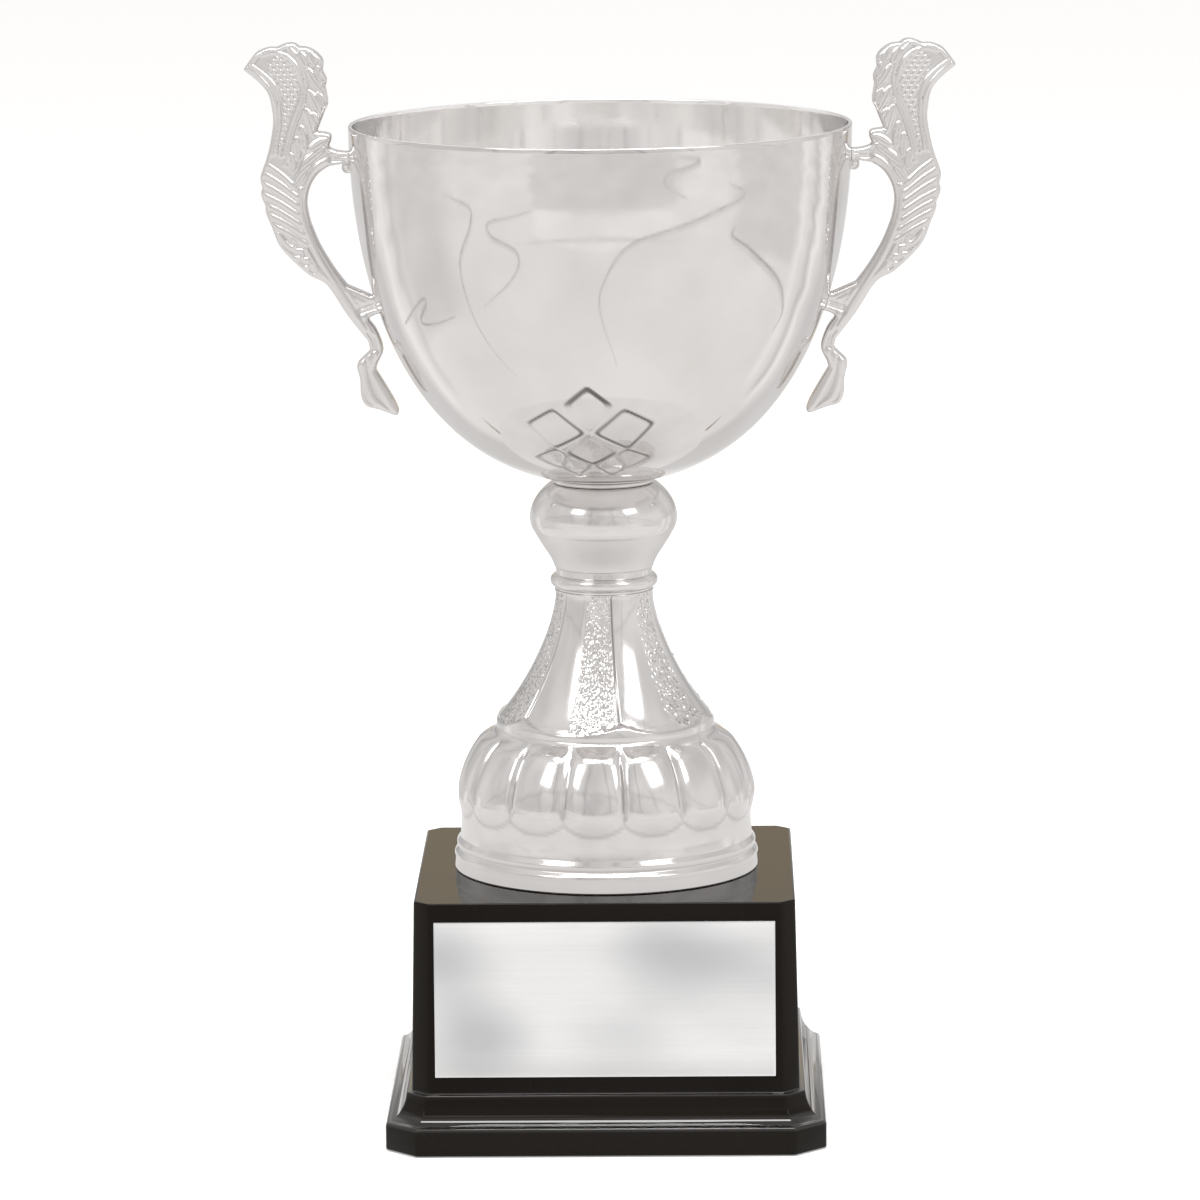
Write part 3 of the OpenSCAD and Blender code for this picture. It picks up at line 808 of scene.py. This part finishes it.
def bowl():
    line = drawn("bowl_shell", [(HOLE_R, SEAT_TOP)] + bowl_curve())
    shell = turned(line, bowl_turns(), 2)
    at = places(shell)
    angle, z = round_trip(at)
    curve = np.array(bowl_curve())
    run = run_along(curve)

    def unrolled(turn, height):
        """Distance round the bowl and along its curve, in mm."""
        radius = np.interp(height, curve[:, 1], curve[:, 0])
        return np.stack([np.radians(turn) * radius, np.interp(height, curve[:, 1], run)], -1)

    dark = np.zeros(len(z))
    for face in (CLUSTER_TURN, CLUSTER_TURN + 180):
        local = np.mod(angle - face + 180, 360) - 180
        near = (np.abs(local) < 32) & (z < 156) & (z > SEAT_TOP + 0.5)
        spots = unrolled(local[near], z[near])
        pressed, seam = np.zeros(len(z)), np.full(len(spots), -9.0)
        depth, shadow = np.zeros(len(spots)), np.zeros(len(spots))
        for corners, darkness, width in zip(DIAMONDS, SIDE_PAINTED_SHADE, SIDE_WIDTH):
            corners = unrolled(*np.array(corners).T)
            inside, out, up, shaded = facet(spots, corners, darkness)
            reach = np.linalg.norm(corners - corners.mean(axis=0), axis=1).mean()
            flat = 0.25 * np.clip(reach**2 - out**2, 0, None) / (2 * BOWL_BEND)
            lean = 0.05 + 0.12 * np.clip(0.6 + up / reach, 0, 1.6)
            depth = np.maximum(depth, eased(inside, 0.0, 0.55) * (flat + lean))
            seam = np.maximum(seam, inside)
            # painted shade: each diamond's outline is darkened in the colour, some sides more than others, for
            # the shade and dark reflection on its bevels
            outline = eased(inside, -0.5, -0.15) * (1 - eased(inside, width - 0.1, width + 0.25))
            shadow = np.maximum(shadow, outline * shaded)
        line = eased(seam, -0.75, -0.1) * (1 - eased(seam, -0.1, 0.3))
        pressed[near] = depth
        relief(shell, -1.0, pressed)
        pressed[near] = line * (1 - eased(z[near], 146.5, 149))
        relief(shell, -0.14, pressed)
        dark[near] = np.maximum(dark[near], shadow)
    store_painted_line_shade(shell, dark)
    apply_modifier(shell, "SOLIDIFY", thickness=BOWL_WALL * MM, offset=-1, use_even_offset=True)
    open_mesh(shell, everything=False)
    close_mesh()
    for edge in shell.data.edges:
        ends = [shell.data.vertices[i].co for i in edge.vertices]
        top = all(p.z > (RIM - 0.05) * MM for p in ends)
        edge.select = top and abs(math.hypot(*ends[0].xy) - math.hypot(*ends[1].xy)) < 0.2 * MM
    bpy.ops.object.mode_set(mode="EDIT")
    bpy.ops.mesh.select_mode(type="EDGE")
    bpy.ops.mesh.bevel(offset=0.3 * MM, segments=3, affect="EDGES")
    close_mesh()
    painted(shell, BOWL_SILVER)
    shell.data.materials.append(BOWL_INSIDE_PAINTED_LIGHT)
    # painted light: inward faces and the rim's top get the lighter copy of the plating
    for face in shell.data.polygons:
        inward = face.normal.dot(Vector((*face.center.xy, 0))) < 0
        face.material_index = int(inward or face.normal.z > 0.9)
    smooth(shell, 45)
    fitted(shell, "bowl_silver", "bowl")


bowl()


# ---- Handles ----

HANDLE_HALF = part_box("handle_right")[1].y / MM
BOWL_R, BOWL_Z = zip(*bowl_curve())


def bare_casting(node, name):
    """A loose copy of the plain handle, with its triangles joined up."""
    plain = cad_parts[node]
    casting = plain.copy()
    casting.data = plain.data.copy()
    bpy.context.scene.collection.objects.link(casting)
    casting.parent = None
    for key in list(casting.keys()):
        del casting[key]
    casting.name = casting.data.name = name
    open_mesh(casting)
    bpy.ops.mesh.remove_doubles(threshold=0.001 * MM)
    close_mesh()
    return casting


def drop_ball(side):
    """The small ball that hangs under the arm."""
    clear()
    place = Vector((side * (RIM_R + 0.3), 0, RIM - 8.6)) * MM
    bpy.ops.mesh.primitive_uv_sphere_add(segments=24, ring_count=16, radius=1.15 * MM, location=place)
    return named("drop_ball")


def outline_tree(casting):
    """Points every 0.1 mm along the outline of the handle's flat front."""
    mesh = casting.data
    sides = {}
    for face in mesh.polygons:
        flat = abs(face.normal.y) > 0.9
        for key in face.edge_keys:
            sides.setdefault(key, []).append(flat)
    spots = []
    for (a, b), flats in sides.items():
        if flats.count(True) == 1 and mesh.vertices[a].co.y < 0:
            p, q = mesh.vertices[a].co, mesh.vertices[b].co
            for t in np.linspace(0, 1, max(2, int((q - p).length / (0.1 * MM)) + 1)):
                spot = p.lerp(q, t)
                if abs(spot.x) / MM > np.interp(spot.z / MM, BOWL_Z, BOWL_R) + 0.5:
                    spots.append(spot)
    tree = kdtree.KDTree(len(spots))
    for i, spot in enumerate(spots):
        tree.insert((spot.x, 0, spot.z), i)
    tree.balance()
    return tree


def along(points, steps=8):
    """A smooth line through the points."""
    p = [np.array(q, float) for q in points]
    p = [2 * p[0] - p[1]] + p + [2 * p[-1] - p[-2]]
    out = []
    for a, b, c, d in zip(p, p[1:], p[2:], p[3:]):
        for t in np.linspace(0, 1, steps, endpoint=False):
            bend, twist = 2 * a - 5 * b + 4 * c - d, 3 * b - a - 3 * c + d
            out.append(0.5 * (2 * b + (c - a) * t + bend * t**2 + twist * t**3))
    return np.array(out + [p[-2]])


def ridge(spots, points, width, taper=False):
    """1 along a line, fading to 0 at width on either side; a tapered one is
    narrow at its ends, as a leaf is."""
    line = along(points)
    best = np.full(len(spots), 9.0)
    share = np.zeros(len(spots))
    box = (spots[:, 0] > line[:, 0].min() - width) & (spots[:, 0] < line[:, 0].max() + width)
    box &= (spots[:, 1] > line[:, 1].min() - width) & (spots[:, 1] < line[:, 1].max() + width)
    near = np.flatnonzero(box)
    total = len(line) - 1
    for k in range(total):
        a, b = line[k], line[k + 1]
        d = b - a
        t = np.clip(((spots[near] - a) @ d) / max(d @ d, 1e-9), 0, 1)
        away = np.linalg.norm(spots[near] - a - t[:, None] * d, axis=1)
        closer = away < best[near]
        best[near[closer]] = away[closer]
        share[near[closer]] = (k + t[closer]) / total
    size = width * (np.sqrt(np.clip(4 * share * (1 - share), 0.02, 1)) if taper else 1)
    return np.sqrt(np.clip(1 - (best / size) ** 2, 0, 1))


def inside_outline(spots, points):
    """True inside a closed line."""
    line = along(points + points[:1], 6)
    hit = np.zeros(len(spots), bool)
    for (x1, y1), (x2, y2) in zip(line, line[1:]):
        if y1 != y2:
            cross = (spots[:, 1] > min(y1, y2)) & (spots[:, 1] <= max(y1, y2))
            hit ^= cross & (spots[:, 0] < x1 + (spots[:, 1] - y1) * (x2 - x1) / (y2 - y1))
    return hit


# Lines of the handle's ornament: first value outward from the rim, second up from it (mm)
BORDER_RIBS = [
    [
        (18.9, 12.0), (16.6, 10.3), (14.6, 8.2), (13.6, 5.5), (13.4, 2.9), (13.5, -0.1), (14.0, -2.8),
        (14.3, -5.6),
    ],
    [
        (19.5, 11.4), (17.4, 9.8), (15.6, 7.6), (14.4, 4.9), (14.1, 2.2), (14.2, -0.8), (14.7, -3.5),
        (15.0, -5.8),
    ],
    [(16.9, 14.1), (14.9, 14.6), (13.2, 14.4), (11.8, 13.9)],
]
SCALE_EDGES = [
    [
        (12.6, 14.2), (10.8, 12.9), (9.5, 10.7), (8.9, 8.1), (9.2, 5.6), (10.2, 2.9), (11.3, 0.1),
        (12.1, -2.8), (12.8, -6.0),
    ],
    [
        (11.4, 15.6), (9.8, 13.6), (8.6, 11.2), (8.1, 8.6), (8.3, 6.0), (9.2, 3.2), (10.4, 0.3),
        (11.4, -2.9), (12.2, -6.2), (12.5, -7.8),
    ],
]
SCALE_FIELD = [
    (15.6, 12.6), (13.2, 13.9), (11.3, 12.8), (10.0, 10.6), (9.5, 8.1), (9.9, 5.6), (10.9, 3.0), (12.0, 0.1),
    (12.8, -3.0), (13.5, -7.0), (13.7, -5.0), (13.1, -0.5), (12.8, 3.0), (13.0, 6.0), (13.9, 8.6), (15.4, 10.4),
]
LEAVES = [
    [(9.6, 14.9), (8.6, 13.2), (7.9, 11.6)],
    [(7.6, 14.9), (6.7, 13.3), (6.2, 11.9)],
    [(7.8, 11.4), (6.4, 9.0), (4.9, 6.7)],
    [(6.2, 12.0), (5.5, 10.4), (4.9, 8.9)],
    [(7.6, 7.0), (6.3, 4.6), (5.2, 2.2)],
    [(5.9, 6.6), (5.2, 5.0), (4.8, 3.6)],
    [(8.2, 3.4), (7.3, 0.6), (6.7, -2.2)],
    [(6.9, 2.6), (6.3, 1.0), (5.8, -0.6)],
    [(9.2, 0.0), (8.8, -2.8), (8.6, -5.2)],
    [(10.2, -2.2), (10.0, -4.4), (10.1, -6.9)],
    [(11.4, -5.4), (11.1, -7.4), (11.1, -9.2)],
    [(7.9, -4.9), (6.0, -3.7), (4.1, -2.6)],
    [(8.1, -6.9), (6.4, -5.6), (4.6, -4.4)],
    [(9.3, -8.1), (7.6, -6.6), (5.9, -5.4)],
    [(9.8, -9.5), (8.4, -8.0), (7.3, -7.2)],
    [(10.7, -11.9), (9.4, -9.9), (8.4, -8.8)],
]
SHELL_RIBS = [
    [(16.0, -7.9), (13.4, -9.8), (10.9, -12.2)],
    [(16.7, -9.6), (13.8, -11.5), (10.4, -14.2)],
    [(17.0, -11.6), (13.9, -13.4), (10.2, -16.0)],
    [(17.0, -13.8), (13.8, -15.4), (10.2, -17.8)],
    [(16.6, -15.8), (13.4, -17.4), (9.8, -19.8)],
    [(16.1, -17.8), (12.9, -19.4), (9.1, -21.8)],
    [(15.5, -19.8), (12.6, -21.2), (8.5, -23.8)],
]
SCROLLS = [
    [(14.0, -21.6), (12.9, -23.2), (11.5, -24.4), (10.6, -23.4), (11.4, -22.6)],
    [(12.4, -25.2), (11.2, -26.4), (9.8, -26.4), (9.4, -25.2), (10.4, -24.9)],
    [(10.6, -27.4), (9.3, -28.4), (8.1, -28.2), (8.0, -27.0), (8.9, -26.8)],
    [(8.6, -29.2), (7.4, -30.0), (6.4, -29.6), (6.6, -28.6)],
    [(8.6, -24.6), (7.8, -26.2), (6.9, -27.6)],
]
STEM_RIDGES = [
    [
        (4.2, -7.0), (6.2, -8.3), (7.9, -11.4), (8.4, -14.9), (7.8, -18.9), (5.9, -23.5), (3.6, -28.0),
        (0.9, -32.6), (-2.1, -37.2), (-4.4, -41.5),
    ],
    [
        (9.3, -12.8), (9.6, -15.2), (9.2, -18.6), (7.9, -22.3), (5.9, -26.7), (3.3, -31.0), (0.2, -35.8),
        (-2.8, -41.0),
    ],
    [(7.4, -27.6), (5.0, -30.4), (2.0, -34.0), (-1.2, -39.4), (-3.0, -42.6)],
    [(0.4, -32.6), (-3.0, -34.4), (-7.0, -36.2)],
    [(-1.0, -34.6), (-4.2, -36.2), (-7.0, -37.2)],
    [(-3.5, -45.4), (-4.2, -49.0), (-6.4, -53.6), (-8.6, -57.4)],
    [(-2.4, -47.6), (-2.8, -51.0), (-4.2, -54.8), (-6.8, -57.4)],
    [(-4.8, -45.8), (-4.4, -47.8)],
]


def scales(spots, inside):
    """Small beads in crossed rows."""
    pitch = 1.12
    a = (spots[:, 0] * 0.82 + spots[:, 1] * 0.57) / pitch
    b = (spots[:, 0] * -0.82 + spots[:, 1] * 0.57) / pitch
    away = np.hypot(a - np.round(a), b - np.round(b))
    return np.clip(1 - (away / 0.44) ** 2, 0, 1) ** 0.7 * inside


def ornament(spots):
    """The height of the handle's ornament at each spot, 0 to 1."""
    height = 0.7 * scales(spots, inside_outline(spots, SCALE_FIELD))
    for lines, tall, width in (
        (BORDER_RIBS, 0.75, 0.36), (SCALE_EDGES, 0.8, 0.42), (SHELL_RIBS, 0.85, 0.62), (SCROLLS, 0.85, 0.5),
        (STEM_RIDGES, 0.8, 0.7),
    ):
        for points in lines:
            height = np.maximum(height, tall * ridge(spots, points, width))
    for points in LEAVES:
        vein = ridge(spots, points, 0.22, taper=True)
        height = np.maximum(height, ridge(spots, points, 0.95, taper=True) - 0.35 * vein)
    return height


def handle(side, node, name):
    casting = bare_casting(node, name)
    tree = outline_tree(casting)
    ball = drop_ball(side)
    take(casting)
    ball.select_set(True)
    bpy.ops.object.join()
    apply_modifier(casting, "REMESH", mode="VOXEL", voxel_size=0.17 * MM)
    apply_modifier(casting, "SMOOTH", factor=0.5, iterations=5)
    at = places(casting)
    edge = np.array([tree.find((x * MM, 0, z * MM))[2] for x, _, z in at]) / MM
    spots = np.stack([np.abs(at[:, 0]) - RIM_R, at[:, 2] - RIM], 1)
    carved = ornament(spots)
    no = facings(casting)
    flat = eased(np.abs(no[:, 1]), 0.55, 0.9)
    round_off = np.clip(1 - edge / 1.3, 0, 1) ** 2
    for face in (-1, 1):
        here = (at[:, 1] * face > 0.1).astype(float)
        relief(casting, -0.75 * face, here * np.abs(at[:, 1]) / HANDLE_HALF * round_off, "Y")
        relief(casting, -0.45 * face, here * flat * eased(edge, 0.35, 1.0) * (1 - carved), "Y")
    apply_modifier(casting, "SMOOTH", factor=0.5, iterations=1)
    painted(casting, HANDLE_SILVER)
    smooth(casting, 80)
    fitted(casting, "handle_silver", node)


handle(1, "handle_right", "handle_right_casting")
handle(-1, "handle_left", "handle_left_casting")


# ---- Fixings and underside: the frame's own solids ----

for node, material in {
    "cap_nut": NUT_STEEL, "bowl_washer": NUT_STEEL, "tie_rod": NUT_STEEL, "tie_nut": NUT_STEEL,
    "spring_washer": NUT_STEEL, "weight_washer": NUT_STEEL, "handle_screws": NUT_STEEL,
    "plinth_weight": WEIGHT_STEEL, "plinth_cover": HARDBOARD, "felt_pad": FELT, "plate_tape": TAPE,
}.items():
    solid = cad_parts[node]
    for held in solid.material_slots:
        held.link = "OBJECT"
        held.material = material


# ---- Studio ----


WARM_WHITE = (1.0, 0.985, 0.975, 1)
BLACK = (0, 0, 0, 1)


def on_floor(turn, away):
    """A spot on the floor: degrees round from the front, and metres from the middle."""
    return Vector((math.sin(math.radians(turn)), -math.cos(math.radians(turn)), 0)) * away


def mirrored_only(obj):
    """The silver mirrors it, but nothing else sees it."""
    obj.visible_camera = obj.visible_diffuse = obj.visible_shadow = obj.visible_transmission = False


def glowing(name):
    """A finish that only shines, evenly all round."""
    return Finish(name, Roughness=1.0, Specular_IOR_Level=0.0, Base_Color=BLACK, Emission_Strength=1.0)


# Bands of the floor that the silver mirrors, lighter or darker: from and to (degrees
# round from the front), how soft their sides are, from and to (metres away), and how
# much is added to the light
FLOOR_BANDS = [
    (-170, -130, 5, 0.1, 4, -0.2), (-125, -120, 2, 0.2, 4, 0.12), (-115, -110, 2, 0.2, 4, -0.12),
    (-110, -75, 7, 0.3, 4, -0.14), (35, 60, 2, 0.55, 4, 0.03), (105, 110, 2, 0.2, 4, 0.12),
    (115, 120, 2, 0.2, 4, -0.2), (120, 125, 2, 0.2, 4, 0.12), (130, 170, 5, 0.1, 4, -0.2),
    (65, 105, 3, 0.5, 9, -0.12), (-30, 35, 2, 0.7, 2, -0.12),
]


def floor():
    """A pale paper floor. What the silver mirrors of it is a little uneven, as a
    lit table is: soft darker drapes to the sides and a brighter pool in front."""
    clear()
    bpy.ops.mesh.primitive_plane_add(size=6, location=(0, 0, 0))
    sheet = named("studio_floor")
    f = Finish("studio_paper", Roughness=0.9, Emission_Strength=0.3)
    paper = f.noise(0.8, 3)
    f.set(Base_Color=f.blend(paper, (0.93, 0.93, 0.93, 1), (0.96, 0.96, 0.96, 1)), Emission_Color=(1, 1, 1, 1))
    across, behind = f.along_axis(f.place, 0), f.along_axis(f.place, 1)
    out = f.add("VectorMath", {"operation": "LENGTH"}, {0: f.place}, "Value")
    turn = across.maths("ARCTAN2", across, behind * -1.0) * 57.3
    turn = turn + (f.noise(150, 1) - 0.5) * 9
    pool = out - turn * turn * 0.0001

    def band(value, low, high, soft):
        rise = f.spread(value, low - soft, low + soft)
        return rise * (1 - f.spread(value, high - soft, high + soft))

    shade = f.spread(f.noise(260, 1), 0.3, 0.7, 0.86, 0.94)
    for low, high, soft, near, far, more in FLOOR_BANDS:
        shade = shade * (1 + band(turn, low, high, soft) * band(out, near, far, 0.02) * more)
    shade = shade * (1 + band(turn, -30, 35, 2) * band(pool, 0.45, 0.65, 0.012) * 0.08)
    mirrored = f.add("Emission", {}, {"Color": f.blend(shade, BLACK, WARM_WHITE), "Strength": 1.0})
    f.mixed(f.add("LightPath", out="Is Glossy Ray"), f.principled(), mirrored)
    painted(sheet, f.material)


# Folds of the cloth round the cup, which the bowl mirrors as thin wavy lines:
# how light, how wide, where each starts and ends (degrees round from the front,
# metres away), and how far it sways to one side on its way (degrees)
FOLDS = [
    (0.5, 1.8, (-125, 0.4), (-80, 0.3), 15),
    (0.6, 1.4, (-75, 0.9), (-55, 0.15), 10),
    (0.6, 1.4, (-30, 0.7), (-60, 0.3), -15),
    (0.8, 1.2, (-40, 0.5), (35, 0.5), 0),
    (0.6, 1.4, (35, 1.5), (40, 0.8), 10),
    (0.6, 1.4, (60, 1.0), (10, 0.15), 20),
    (0.5, 1.8, (65, 0.6), (105, 0.3), -10),
]


def fold(name, light, width, spots, lift=0.0):
    """A soft roll of cloth along the spots, thin at its ends."""
    line = bpy.data.curves.new(name, "CURVE")
    line.dimensions, line.bevel_depth, line.bevel_resolution = "3D", width * 0.004, 2
    path = line.splines.new("POLY")
    course = along([tuple(on_floor(*spot)) for spot in spots], 14)
    path.points.add(len(course) - 1)
    for share, point, place in zip(np.linspace(0, 1, len(course)), path.points, course):
        point.radius = float(np.linalg.norm(place) * (0.25 + 0.75 * math.sin(math.pi * share)))
        point.co = (place[0], place[1], lift * point.radius, 1)
    roll = bpy.data.objects.new(name, line)
    bpy.context.scene.collection.objects.link(roll)
    take(roll)
    bpy.ops.object.convert(target="MESH")
    tint = glowing(name)
    shade = light * (0.9 + tint.noise(60, 2) * 0.2)
    painted(roll, tint.set(Emission_Color=tint.blend(shade, BLACK, WARM_WHITE)))
    mirrored_only(roll)


def folds():
    """Each fold lies on a wider, paler margin."""
    for count, (light, width, start, end, sway) in enumerate(FOLDS):
        spots = [
            (np.interp(t, (0, 1), (start[0], end[0])) + sway * math.sin(2 * math.pi * t),
             np.interp(t, (0, 1), (start[1], end[1])))
            for t in np.linspace(0, 1, 6)
        ]
        fold(f"fold_margin_{count}", 0.74 + 0.1 * light, width * 2.4, spots)
        fold(f"fold_{count}", light, width, spots, lift=width * 0.0085)


def warm_card(name, left, right, back, bottom, top, tone):
    """An upright warm card for the plinth to mirror (in mm), fading out to its rim."""
    middle = Vector((left + right, 2 * back, bottom + top)) / 2 * MM
    clear()
    bpy.ops.mesh.primitive_plane_add(size=2, rotation=(math.pi / 2, 0, 0))
    bpy.ops.transform.resize(value=((right - left) / 2 * MM, 1, (top - bottom) / 2 * MM))
    bpy.ops.transform.translate(value=middle)
    card = named(name)
    f = glowing(name)
    worn = (*(0.8 * part for part in tone), 1)
    f.set(Emission_Color=f.blend(f.noise(70, 2), (*tone, 1), worn))
    round_it = Vector((2 / (right - left), 1, 2 / (top - bottom))) / MM
    away = f.distance(f.stretched(*round_it), middle * round_it)
    f.mixed(f.spread(away, 0.55, 1.0, smooth=True), f.principled(), f.add("BsdfTransparent"))
    painted(card, f.material)
    mirrored_only(card)


def warm_cards():
    warm_card("back_card", -110, 100, 300, 45, 157, (0.72, 0.61, 0.45))
    for side in (-1, 1):
        left, right = sorted((side * 41, side * 130))
        warm_card(f"side_card_{right}", left, right, 52, 0.5, 13, (0.42, 0.35, 0.27))


def under_card():
    """A pale round card at the plinth's top that shows only from above, so that the
    silver over it mirrors light card and not black plinth."""
    clear()
    place = (0, 0, (PLINTH_TOP + 0.35) * MM)
    bpy.ops.mesh.primitive_circle_add(vertices=96, radius=0.078, fill_type="NGON", location=place)
    card = named("under_card")
    f = glowing("studio_pale_card")
    out = f.add("VectorMath", {"operation": "LENGTH"}, {0: f.place}, "Value")
    shade = f.spread(out, 0.045, 0.076, 0.68, 0.88) * f.spread(f.noise(22, 2), 0.3, 0.7, 0.95, 1.02)
    f.set(Emission_Color=f.blend(shade, BLACK, WARM_WHITE))
    f.mixed(f.add("NewGeometry", out="Backfacing"), f.principled(), f.add("BsdfTransparent"))
    painted(card, f.material)
    mirrored_only(card)


def softbox(name, azimuth, elevation, distance, width, height, power):
    """A square light aimed at the cup, azimuth from the front towards the right."""
    a, e = math.radians(azimuth), math.radians(elevation)
    place = Vector((math.sin(a) * math.cos(e), -math.cos(a) * math.cos(e), math.sin(e))) * distance
    aim = Vector((0, 0, 0.13))
    lamp = bpy.data.lights.new(name, "AREA")
    lamp.shape, lamp.size, lamp.size_y, lamp.energy = "RECTANGLE", width, height, power
    obj = bpy.data.objects.new(name, lamp)
    bpy.context.scene.collection.objects.link(obj)
    obj.location = aim + place
    obj.rotation_euler = (-place).to_track_quat("-Z", "Y").to_euler()
    return obj


# The tent's darker seams: which way each one's plane faces, its width and depth
TENT_SEAMS = [
    ((1, 0.35, 0.1), 0.022, 0.3), ((-1, 0.42, 0.05), 0.022, 0.3), ((1, 0.95, 0.25), 0.016, 0.25),
    ((-1, 1.05, -0.2), 0.016, 0.25), ((0.1, 0.55, 1), 0.02, 0.2), ((1, -0.15, 0.5), 0.014, 0.2),
    ((-1, -0.12, 0.55), 0.014, 0.2),
]


def tent():
    """A white light tent: bright all round, a little dimmer towards the viewer and
    behind, with thin darker seams."""
    world = bpy.data.worlds.new("light_tent")
    bpy.context.scene.world = world
    world.use_nodes = True
    f = Nodes(world.node_tree)
    f.tree.nodes.clear()
    toward = f.add("TexCoord", out="Generated")
    wobble = f.add("TexNoise", {}, {"Vector": toward, "Scale": 2.2, "Detail": 2.0}, "Color")
    bent = f.add("VectorMath", {"operation": "SCALE"}, {0: wobble, "Scale": 0.22})
    bent = f.add("VectorMath", {"operation": "ADD"}, {0: toward, 1: bent})
    bent = f.add("VectorMath", {"operation": "SUBTRACT"}, {0: bent, 1: (0.11, 0.11, 0.11)})

    def facing(way, direction):
        towards = Vector(direction).normalized()
        return f.add("VectorMath", {"operation": "DOT_PRODUCT"}, {0: way, 1: towards}, "Value")

    cloth = f.add("TexNoise", {}, {"Vector": toward, "Scale": 1.6, "Detail": 3.0}, "Fac")
    light = f.spread(cloth, 0.3, 0.7, 0.66, 0.86, smooth=True)
    light = light * (1 - f.spread(facing(toward, (0, -1, 0.14)), 0.90, 0.985, smooth=True) * 0.1)
    light = light * (1 - f.spread(facing(toward, (0, 1, 0.2)), 0.72, 0.92, smooth=True) * 0.25)
    for seam, width, depth in TENT_SEAMS:
        edge = light.maths("ABSOLUTE", facing(bent, seam), 0.0)
        light = light * f.spread(edge, width * 0.4, width * 1.6, 1 - depth, 1.0, smooth=True)
    seen = f.add("LightPath", out="Is Camera Ray")
    tint = f.blend(seen, WARM_WHITE, (1.0, 1.0, 1.0, 1.0))
    strength = f.add("Mix", {"data_type": "FLOAT"}, {0: seen, 2: light, 3: 1.0})
    shade = f.add("Background", {}, {"Color": tint, "Strength": strength})
    f.feed(f.tree.nodes.new("ShaderNodeOutputWorld").inputs["Surface"], shade)


CAMERA_PLACE = Vector((20.4, -1368, 339.5))
CAMERA_DOWN, CAMERA_LEFT, CAMERA_ROLL = math.radians(9.76), math.radians(0.89), math.radians(-0.51)


def camera():
    turn = Matrix.Rotation(CAMERA_LEFT, 3, "Z")
    ahead = turn @ Vector((0, math.cos(CAMERA_DOWN), -math.sin(CAMERA_DOWN)))
    up = turn @ Vector((0, math.sin(CAMERA_DOWN), math.cos(CAMERA_DOWN)))
    right = turn @ Vector((1, 0, 0))
    across = right * math.cos(CAMERA_ROLL) + up * math.sin(CAMERA_ROLL)
    upright = up * math.cos(CAMERA_ROLL) - right * math.sin(CAMERA_ROLL)
    lens = bpy.data.cameras.new("camera")
    lens.lens, lens.sensor_width = 207.1, 36
    lens.clip_start, lens.clip_end = 0.05, 50
    eye = bpy.data.objects.new("camera", lens)
    bpy.context.scene.collection.objects.link(eye)
    turned_so = Matrix((across, upright, -ahead)).transposed().to_4x4()
    eye.matrix_world = Matrix.Translation(CAMERA_PLACE * MM) @ turned_so
    bpy.context.scene.camera = eye


floor()
folds()
warm_cards()
under_card()
softbox("softbox_left", -46, 42, 1.1, 0.34, 0.5, 1.1)
softbox("softbox_right", 50, 42, 1.1, 0.34, 0.5, 1.1)
softbox("softbox_top", 6, 76, 1.2, 0.9, 0.34, 10)
softbox("softbox_back", 180, 38, 1.3, 1.0, 0.4, 1.0)
tent()
camera()
bpy.context.scene.view_settings.view_transform = "Standard"
